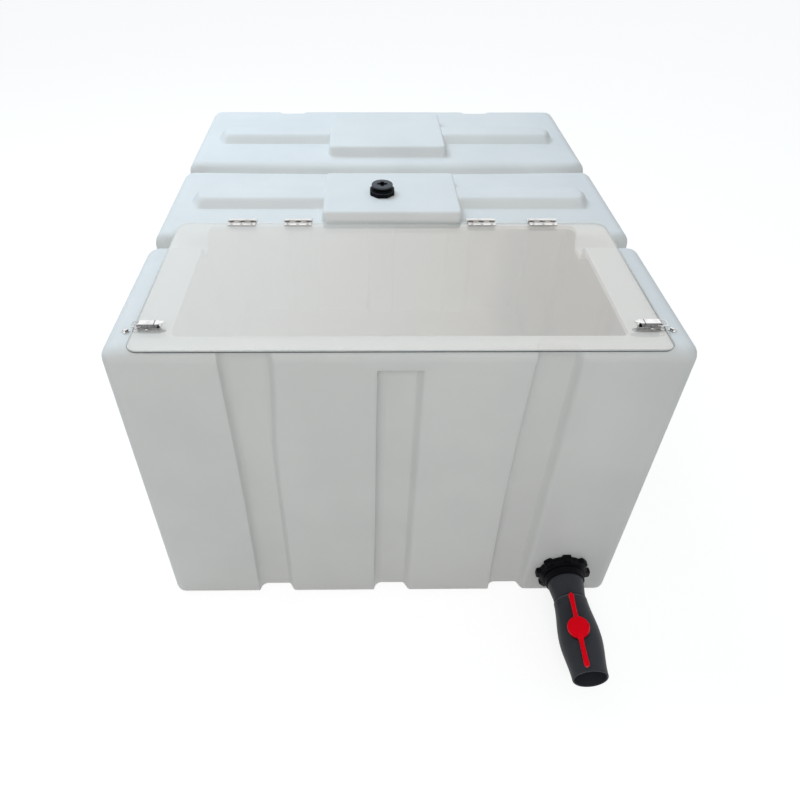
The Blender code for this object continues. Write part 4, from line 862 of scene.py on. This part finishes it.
class Finish:
    """A material or sky being made. Every node is added by one method."""

    def __init__(self, name, holder=None):
        self.holder = holder or bpy.data.materials.new(name)
        self.holder.use_nodes = True
        self.tree = self.holder.node_tree
        self.tree.nodes.clear()

    def node(self, kind, settings=None, values=None, output=0):
        made = self.tree.nodes.new(kind)
        for key, setting in (settings or {}).items():
            setattr(made, key, setting)
        for key, value in (values or {}).items():
            socket = made.inputs[key]
            if isinstance(value, Value):
                self.tree.links.new(value.socket, socket)
            elif isinstance(value, tuple) and socket.type == "RGBA" and len(value) == 3:
                socket.default_value = (*value, 1)
            else:
                socket.default_value = value
        return Value(self, made.outputs[output]) if len(made.outputs) else None

    def place(self, stretch=(1, 1, 1), angle=None):
        """Object coordinates in metres, turned about the upright axis, then stretched along the axes."""
        where = self.node("ShaderNodeTexCoord", output="Object")
        if angle:
            where = self.node("ShaderNodeMapping", {}, {"Vector": where, "Rotation": (0, 0, angle)})
        return self.node("ShaderNodeMapping", {}, {"Vector": where, "Scale": stretch})

    def noise(self, where, scale, detail, roughness):
        """Soft random pattern between 0 and 1."""
        return self.node("ShaderNodeTexNoise", {}, {"Vector": where, "Scale": scale, "Detail": detail,
                                                    "Roughness": roughness})

    def part(self, place):
        """The three coordinates of a point."""
        return [self.node("ShaderNodeSeparateXYZ", {}, {"Vector": place}, output=n) for n in range(3)]

    def rise(self, value, low, high):
        """0 below low, 1 above high, smooth between them."""
        return self.node("ShaderNodeMapRange", {"interpolation_type": "SMOOTHSTEP"},
                         {"Value": value, "From Min": low, "From Max": high})

    def mix(self, share, first, second):
        """The share is the second colour's part."""
        return self.node("ShaderNodeMix", {"data_type": "RGBA"}, {0: share, 6: first, 7: second}, output=2)

    def bump(self, height, strength, distance):
        values = {"Height": height, "Strength": strength, "Distance": distance}
        return self.node("ShaderNodeBump", {}, values)

    def painted(self, name):
        """A value that the mesh carries at its points."""
        return self.node("ShaderNodeAttribute", {"attribute_name": name}, output="Fac")

    def surface(self, values):
        return self.node("ShaderNodeBsdfPrincipled", {}, values)

    def blend(self, share, first, second):
        """The share is the second finish's part."""
        return self.node("ShaderNodeMixShader", {}, {0: share, 1: first, 2: second})

    def seen(self):
        """1 for the camera and for what is mirrored or seen through a clear piece, 0 for other light."""
        camera, mirrored_ray, clear_ray = (self.node("ShaderNodeLightPath", output=f"Is {kind} Ray")
                                           for kind in ("Camera", "Glossy", "Transmission"))
        return camera + mirrored_ray + clear_ray

    def done(self, shader, output="ShaderNodeOutputMaterial"):
        self.node(output, {}, {"Surface": shader})
        return self.holder


def tank_plastic():
    """White moulded polyethylene: soft satin, faint clouding, fine grain of the mould, light scuffs. The
    inside is creamier and its right wall is in the shade."""
    f = Finish("tank_plastic")
    where = f.place()
    cloud = f.noise(where, 5.0, 4.0, 0.55)
    grain = f.noise(where, 420.0, 2.0, 0.6)
    ripple = f.noise(where, 16.0, 2.0, 0.5)
    scuffs = f.rise(f.noise(f.place((1.0, 1.0, 7.0)), 34.0, 6.0, 0.7), 0.60, 0.78)
    colour = f.mix(f.rise(cloud, 0.35, 0.65), (0.800, 0.808, 0.800), (0.835, 0.842, 0.832))
    colour = f.mix(scuffs * 0.10, colour, (0.68, 0.68, 0.66))
    # painted shade: a darker line along each channel's left lip and along the middle channel's top edge
    colour = f.mix(f.painted("crease_shade") * 0.16, colour, (0.50, 0.49, 0.47))
    # painted shade: the inside's right wall is darker
    right_wall_shade = f.rise(f.part(where)[0], 0.36, 0.47)
    inside = f.mix(right_wall_shade, (0.97, 0.918, 0.850), (0.42, 0.415, 0.41))
    colour = f.mix(f.painted("inner"), colour, inside)
    height = grain * 0.25 + ripple
    skin = f.surface({"Base Color": colour, "Roughness": 0.40 + grain * 0.06 + scuffs * 0.12,
                      "IOR": 1.45, "Specular IOR Level": 0.35, "Normal": f.bump(height, 0.25, 0.0012)})
    glow = f.node("ShaderNodeBsdfTranslucent", {}, {"Color": (0.94, 0.93, 0.90)})
    return f.done(f.blend(0.17, skin, glow))


def clear_sheet():
    """Clear flat sheet: it lets most light through and mirrors more of it at a low angle. It mirrors a little
    more to the left, and a pale warm veil on it is a painted reflection, stronger to the left and wiped in
    slanting streaks."""
    f = Finish("clear_sheet")
    where = f.place()
    smear = f.noise(where, 9.0, 3.0, 0.6)
    gloss = f.node("ShaderNodeBsdfGlossy", {}, {"Color": (1.0, 0.985, 0.96), "Roughness": 0.03})
    through = f.node("ShaderNodeBsdfTransparent", {}, {"Color": (0.985, 0.985, 0.98)})
    facing = f.node("ShaderNodeLayerWeight", {}, {"Blend": 0.5}, output="Facing")
    across = f.rise(f.part(where)[0], -0.42, 0.40)
    # painted reflection: the sheet mirrors more to the left
    share = 0.25 + 0.06 * (1 - across) + 0.70 * facing ** 4 + smear * 0.02
    clear = f.blend(share, through, gloss)
    wiped = f.noise(f.place((1.0, 0.12, 1.0), -0.42), 9.0, 1.0, 0.5)
    # painted reflection: a pale warm veil, stronger to the left, with faint wiped streaks
    painted_veil_share = 0.225 * (1 - across) + 0.015 * wiped + 0.005 * smear
    painted_veil = f.node("ShaderNodeBsdfDiffuse", {}, {"Color": (0.97, 0.95, 0.915)})
    return f.done(f.blend(painted_veil_share, clear, painted_veil))


def sheet_edge():
    """Sawn and polished edge of the clear sheet, drawn with painted shade: a dark line along its lower
    half, fainter to the rear.
    """
    f = Finish("clear_sheet_edge")
    streak = f.noise(f.place((3.0, 3.0, 120.0)), 60.0, 3.0, 0.6)
    colour = f.mix(streak, (0.02, 0.025, 0.03), (0.05, 0.055, 0.06))
    _, back, up = f.part(f.place())
    # painted shade: darkest along the edge's lower half, fainter to the rear
    dark = (1 - f.rise(up, 0.7176, 0.7184)) * (1 - 0.7 * f.rise(back, -0.42, -0.20))
    cut = f.surface({"Base Color": colour, "Roughness": 0.22 + streak * 0.15, "IOR": 1.49})
    through = f.node("ShaderNodeBsdfTransparent", {}, {"Color": (0.92, 0.95, 0.95)})
    return f.done(f.blend(0.12 + dark * 0.78 + streak * 0.08, through, cut))


def bright_steel(name, tint, roughness, stretch, step_shade=None, cut=0.22):
    """Stamped stainless sheet: fine rolling streaks and finger marks. Upright faces are darkened as painted
    shade: cut is their share of the tint. A painted shade line may lie at the step across the levers, at
    the given distance from the tank's middle plane."""
    f = Finish(name)
    streak = f.noise(f.place(stretch), 900.0, 4.0, 0.6)
    mark = f.noise(f.place(), 70.0, 3.0, 0.6)
    colour = f.mix(f.rise(mark, 0.4, 0.7), tint, tuple(c * 0.82 for c in tint))
    # painted shade on upright faces, standing in for the dark surroundings they would mirror
    upright = 1 - f.rise(f.part(f.node("ShaderNodeTexCoord", output="Normal"))[2], 0.15, 0.85)
    colour = f.mix(upright * 0.90, colour, tuple(c * cut for c in tint))
    # painted shade: a dark line at the step across the levers
    if step_shade:
        away = abs(abs(f.part(f.place())[0]) - step_shade)
        colour = f.mix(1 - f.rise(away, 0.0004, 0.0009), colour, tuple(c * 0.08 for c in tint))
    height = streak * 0.6 + mark * 0.4
    return f.done(f.surface({"Base Color": colour, "Metallic": 1.0,
                             "Roughness": roughness + streak * 0.10 + mark * 0.06,
                             "Normal": f.bump(height, 0.12, 0.0004)}))


def moulded_plastic(name, dark, light, roughness, dust, grain, shine):
    """Hard moulded plastic: satin with a fine grain, faint flow marks, a little pale dust, and a lighter grey
    where the mesh asks for painted highlights, partly wear."""
    f = Finish(name)
    where = f.place()
    flow = f.noise(f.place((1.0, 1.0, 0.3)), 45.0, 4.0, 0.6)
    fine = f.noise(where, 1500.0, 2.0, 0.5)
    specks = f.rise(f.noise(where, 240.0, 5.0, 0.7), 0.60, 0.75)
    colour = f.mix(flow, dark, light)
    colour = f.mix(specks * dust, colour, (0.45, 0.43, 0.40))
    # painted highlight, partly wear: a lighter grey where the mesh marks it
    colour = f.mix(f.painted("highlight_and_wear"), colour, (0.095, 0.098, 0.108))
    return f.done(f.surface({"Base Color": colour, "Roughness": roughness + fine * 0.08 + specks * 0.15,
                             "IOR": 1.5, "Specular IOR Level": shine,
                             "Normal": f.bump(fine * 0.5 + flow, grain, 0.0005)}))


# Tint, roughness, the streaks' stretch, the distance of the levers' painted shade line, and the share of
# tint that upright faces keep under painted shade
steels = {
    "hinge_steel": ((0.90, 0.89, 0.875), 0.18, (0.2, 1.0, 1.0), None, 0.50),
    "latch_steel": ((0.93, 0.925, 0.92), 0.18, (1.0, 0.2, 1.0)),
    "screw_steel": ((0.97, 0.965, 0.96), 0.20, (1.0, 1.0, 1.0)),
    "lever_steel": ((0.97, 0.965, 0.96), 0.16, (1.0, 0.2, 1.0), LEVER_STEP),
}

# Darker and lighter tint, roughness, dust, grain and shine
plastics = {
    "black_plastic": ((0.002, 0.002, 0.003), (0.005, 0.005, 0.007), 0.34, 0.02, 0.2, 0.06),
    "grey_plastic": ((0.031, 0.034, 0.041), (0.043, 0.046, 0.053), 0.40, 0.04, 0.2, 0.12),
    "white_plastic": ((0.72, 0.72, 0.70), (0.80, 0.80, 0.78), 0.40, 0.05, 0.2, 0.5),
    "red_plastic": ((0.85, 0.0, 0.008), (0.92, 0.001, 0.014), 0.30, 0.01, 0.2, 0.06),
    "seal_rubber": ((0.018, 0.018, 0.018), (0.035, 0.034, 0.033), 0.62, 0.10, 0.3, 0.5),
}

finishes = {"tank_plastic": tank_plastic(), "clear_sheet": clear_sheet()}
for name, values in steels.items():
    finishes[name] = bright_steel(name, *values)
for name, values in plastics.items():
    finishes[name] = moulded_plastic(name, *values)


# Pieces carried over from the part keep their solids and take a finish

def slot_of(node):
    """The finish of a carried-over node, from the first start that its name has."""
    starts = {"hinge_": "hinge_steel", "latch_": "latch_steel", "lid_panel": "clear_sheet",
              "drain_gasket": "seal_rubber", "drain_adapter": "grey_plastic", "drain_": "black_plastic",
              "valve_seat": "white_plastic", "valve_stem_seal": "seal_rubber", "valve_handle": "red_plastic",
              "valve_": "grey_plastic", "vent_gasket": "seal_rubber", "vent_plug_seal": "seal_rubber",
              "vent_": "black_plastic", "tank_": "tank_plastic"}
    return next(slot for start, slot in starts.items() if node.startswith(start))


for node, piece in nodes.items():
    piece.data.materials.clear()
    piece.data.materials.append(finishes[slot_of(node)])

add_piece("tank_shell_moulding", shell_mesh(), finishes["tank_plastic"], "tank", "tank_plastic",
          ["tank_shell"], sharp=38)

bodies = frame["record"]["behaviour"]["bodies"]
body_of = {node: body for body, members in bodies.items() for node in members}

# Places of the fittings' own frames
DRAIN = frame_matrix((DRAIN_PLACE[0], -HALF_DEPTH, DRAIN_PLACE[1]), ("X", 90))
VALVE = DRAIN @ frame_matrix((0, 0, VALVE_START), ("Z", VALVE_LEAN))
STEM = VALVE @ frame_matrix((0, 0, BALL), ("X", -90))
HANDLE = STEM @ frame_matrix((0, 0, 0), ("Z", HANDLE_TURN))
VENT = frame_matrix((*VENT_PLACE, HEIGHT + PAD_HEIGHT))

# Name, form, place, finish, body and the solid that each moulding replaces
mouldings = [
    ("drain_nut_moulding", lug_nut(), DRAIN, "black_plastic", "tank", "drain_locknut"),
    ("drain_barrel_moulding", threaded_barrel(), DRAIN, "black_plastic", "tank", "drain_bulkhead"),
    ("drain_adapter_moulding", adapter_form(), DRAIN, "grey_plastic", "tank", "drain_adapter"),
    ("valve_body_moulding", valve_form(), VALVE, "grey_plastic", "tank", "valve_body"),
    # the collar's black finish is partly painted shade under the handle's hub
    ("valve_collar_moulding", valve_collar(), STEM, "black_plastic", "tank", None),
    ("valve_handle_moulding", handle_form(), HANDLE, "red_plastic", "valve_turn", "valve_handle"),
    ("vent_nut_moulding", octagon_nut(), VENT, "black_plastic", "tank", "vent_locknut"),
    ("vent_barrel_moulding", vent_barrel(), VENT, "black_plastic", "tank", "vent_bulkhead"),
    ("vent_plug_moulding", plug_form(), VENT, "black_plastic", "vent_plug", "vent_plug"),
]

# Where a moulding gets painted highlights and wear: between two heights, with its strength
highlight_and_wear_bands = {"vent_plug_moulding": (0.0208, 0.0224, 0.9), "vent_nut_moulding": (0.0095, 0.0103, 0.5),
        "valve_body_moulding": (-0.0002, 0.0030, 0.8)}

for name, form, matrix, slot, body, node in mouldings:
    replaced = [node] if node else []
    piece = add_piece(name, make_mesh(name, *placed(form, matrix)), finishes[slot], body, slot, replaced, 32)
    if name in highlight_and_wear_bands:
        low, high, amount = highlight_and_wear_bands[name]
        x, y, z = form[0].T
        # painted highlights, partly wear: the plug's top ring, the nut's top edge and the valve's end rim
        highlight_and_wear = amount * ((z > low) & (z < high))
        if name == "vent_plug_moulding":
            highlight_and_wear = highlight_and_wear * (1 - cross_inside(x, y, 0.0042, 0.0105))
        paint(piece.data, "highlight_and_wear", highlight_and_wear)

sheet = add_piece("lid_clear_sheet", make_mesh("lid_clear_sheet", *lid_sheet()), finishes["clear_sheet"],
                  "lid", "clear_sheet", ["lid_panel"], 60)
sheet.data.materials.append(sheet_edge())
edge_face = [len(face.vertices) == 4 for face in sheet.data.polygons]
sheet.data.polygons.foreach_set("material_index", np.array(edge_face, np.int32))
sheet.data.polygons.foreach_set("use_smooth", edge_face)


def add_small(name, forms, body, slot, replaced=()):
    """Screw heads or a wire as one piece of the brightest steel."""
    add_piece(name, make_mesh(name, *merged(forms)), finishes["screw_steel"], body, slot, replaced, 32)


hinge_screw = screw_head(0.0034, 0.0015)
latch_screw = screw_head(0.0025, 0.0012)
catch_screw = screw_head(0.0021, 0.0010)

# Each screw is turned a little further than the one before, as screws are left
for first, body, (y, z) in ((0, "lid", LID_SCREWS), (1, "tank", TANK_SCREWS)):
    across = [place + x for place in HINGE_PLACES for x in (-HINGE_SCREW_STEP, 0, HINGE_SCREW_STEP)]
    heads = [placed(hinge_screw, frame_matrix((x, y, z), ("Z", SCREW_TURN * (2 * n + first))))
             for n, x in enumerate(across)]
    add_small(f"hinge_screws_{body}", heads, body, "hinge_steel")
for side, sign in (("left", -1), ("right", 1)):
    x, y, z = LATCH_PLACE
    latch = frame_matrix((sign * x, y, z))
    heads = [placed(latch_screw, latch @ frame_matrix((0, end * LATCH_SCREW_STEP, 0), ("Z", 25 + 90 * end)))
             for end in (-1, 1)]
    add_small(f"latch_{side}_screws", heads, "lid", "latch_steel")
    x, y, z = CATCH_PLACE
    catch = frame_matrix((sign * x, y, z), ("Z", 90 - sign * (90 - CATCH_TURN)))
    x, y = CATCH_SCREWS
    heads = [placed(catch_screw, catch @ frame_matrix((x, end * y, 0), ("Z", end * CATCH_SCREW_TURN)))
             for end in (-1, 1)]
    add_small(f"latch_{side}_catch_screws", heads, "tank", "latch_steel")
    x, y, z = LOOP_PLACE
    loop = placed(loop_form(), frame_matrix((sign * x, y, z), ("Z", 90 - sign * 90)))
    add_small(f"latch_{side}_loop_wire", [loop], f"latch_{side}_loop", "latch_steel", [f"latch_{side}_loop"])
    for part in ("base", "lever", "catch"):
        softened(f"latch_{side}_{part}")
for number in range(1, 5):
    softened(f"hinge_{number}_lid_leaf", 0.00018)
    softened(f"hinge_{number}_tank_leaf", 0.00018)


# Floor, light and camera

def pale_floor():
    """Pale floor. Seen by the camera or in a reflection it is lifted to white, and the shadow stays."""
    f = Finish("floor_paper")
    shaded = f.node("ShaderNodeBsdfDiffuse", {}, {"Color": (0.33, 0.33, 0.325)})
    bounce = f.node("ShaderNodeBsdfDiffuse", {}, {"Color": (0.60, 0.57, 0.535)})
    glow = f.node("ShaderNodeEmission", {}, {"Color": (1.0, 1.0, 1.0), "Strength": 0.80})
    lifted = f.node("ShaderNodeAddShader", {}, {0: shaded, 1: glow})
    return f.done(f.blend(f.seen(), bounce, lifted))


def make_floor(size, gap, material):
    """A square floor with a hair's gap under the tank."""
    along = np.linspace(-size, size, 9)
    x, y = np.meshgrid(along, along, indexing="ij")
    points = np.stack([x.ravel(), y.ravel(), np.full(x.size, -gap)], 1)
    mesh = make_mesh("floor", points, cell_faces(np.arange(x.size).reshape(x.shape)))
    floor = bpy.data.objects.new("floor", mesh)
    bpy.context.collection.objects.link(floor)
    mesh.materials.append(material)
    return floor


def make_lamp(name, place, aim, size, power, colour):
    """Round soft lamp. Mirrors do not show it, because the open lid would."""
    data = bpy.data.lights.new(name, "AREA")
    data.shape = "DISK"
    data.size = size
    data.energy = power
    data.color = colour
    lamp = bpy.data.objects.new(name, data)
    bpy.context.collection.objects.link(lamp)
    lamp.location = place
    lamp.visible_glossy = False
    lamp.rotation_euler = (Vector(place) - Vector(aim)).to_track_quat("Z", "Y").to_euler()
    return lamp


def make_sky(strength):
    """Even bluish light from all round. Where it is seen itself it is white."""
    world = bpy.data.worlds.new("studio")
    bpy.context.scene.world = world
    f = Finish("studio", world)
    light = f.node("ShaderNodeBackground", {}, {"Color": (0.83, 0.925, 1.0), "Strength": strength})
    white = f.node("ShaderNodeBackground", {}, {"Color": (1.0, 1.0, 1.0), "Strength": 1.0})
    return f.done(f.blend(f.seen(), light, white), "ShaderNodeOutputWorld")


def make_camera():
    """Camera at the photo's place: it looks along the heading and the pitch, and the roll turns it."""
    yaw, pitch, roll = (math.radians(angle) for angle in CAMERA_TURN)
    ahead = Vector((math.sin(yaw) * math.cos(pitch), math.cos(yaw) * math.cos(pitch), -math.sin(pitch)))
    level = Vector((math.cos(yaw), -math.sin(yaw), 0))
    upright = level.cross(ahead)
    right = math.cos(roll) * level + math.sin(roll) * upright
    up = -math.sin(roll) * level + math.cos(roll) * upright
    data = bpy.data.cameras.new("camera")
    data.lens = LENS * SENSOR / PICTURE
    data.sensor_width = SENSOR
    data.shift_x, data.shift_y = CAMERA_SHIFT
    data.clip_start = 0.02
    camera = bpy.data.objects.new("camera", data)
    bpy.context.collection.objects.link(camera)
    turn = Matrix((right, up, -ahead)).transposed()
    camera.matrix_world = Matrix.Translation(CAMERA_PLACE) @ turn.to_4x4()
    bpy.context.scene.camera = camera
    return camera


floor = make_floor(12.0, 0.0004, pale_floor())
make_sky(0.49)
lamps = [make_lamp("softbox_top", (-1.1, 0.9, 2.9), (0, 0, 0.5), 1.7, 44, (0.70, 0.86, 1.0)),
         make_lamp("softbox_front", (-0.2, -2.9, 2.8), (0, -0.5, 0.4), 1.6, 32, (1.0, 0.945, 0.875))]
camera = make_camera()
bpy.context.scene.view_settings.view_transform = "Standard"
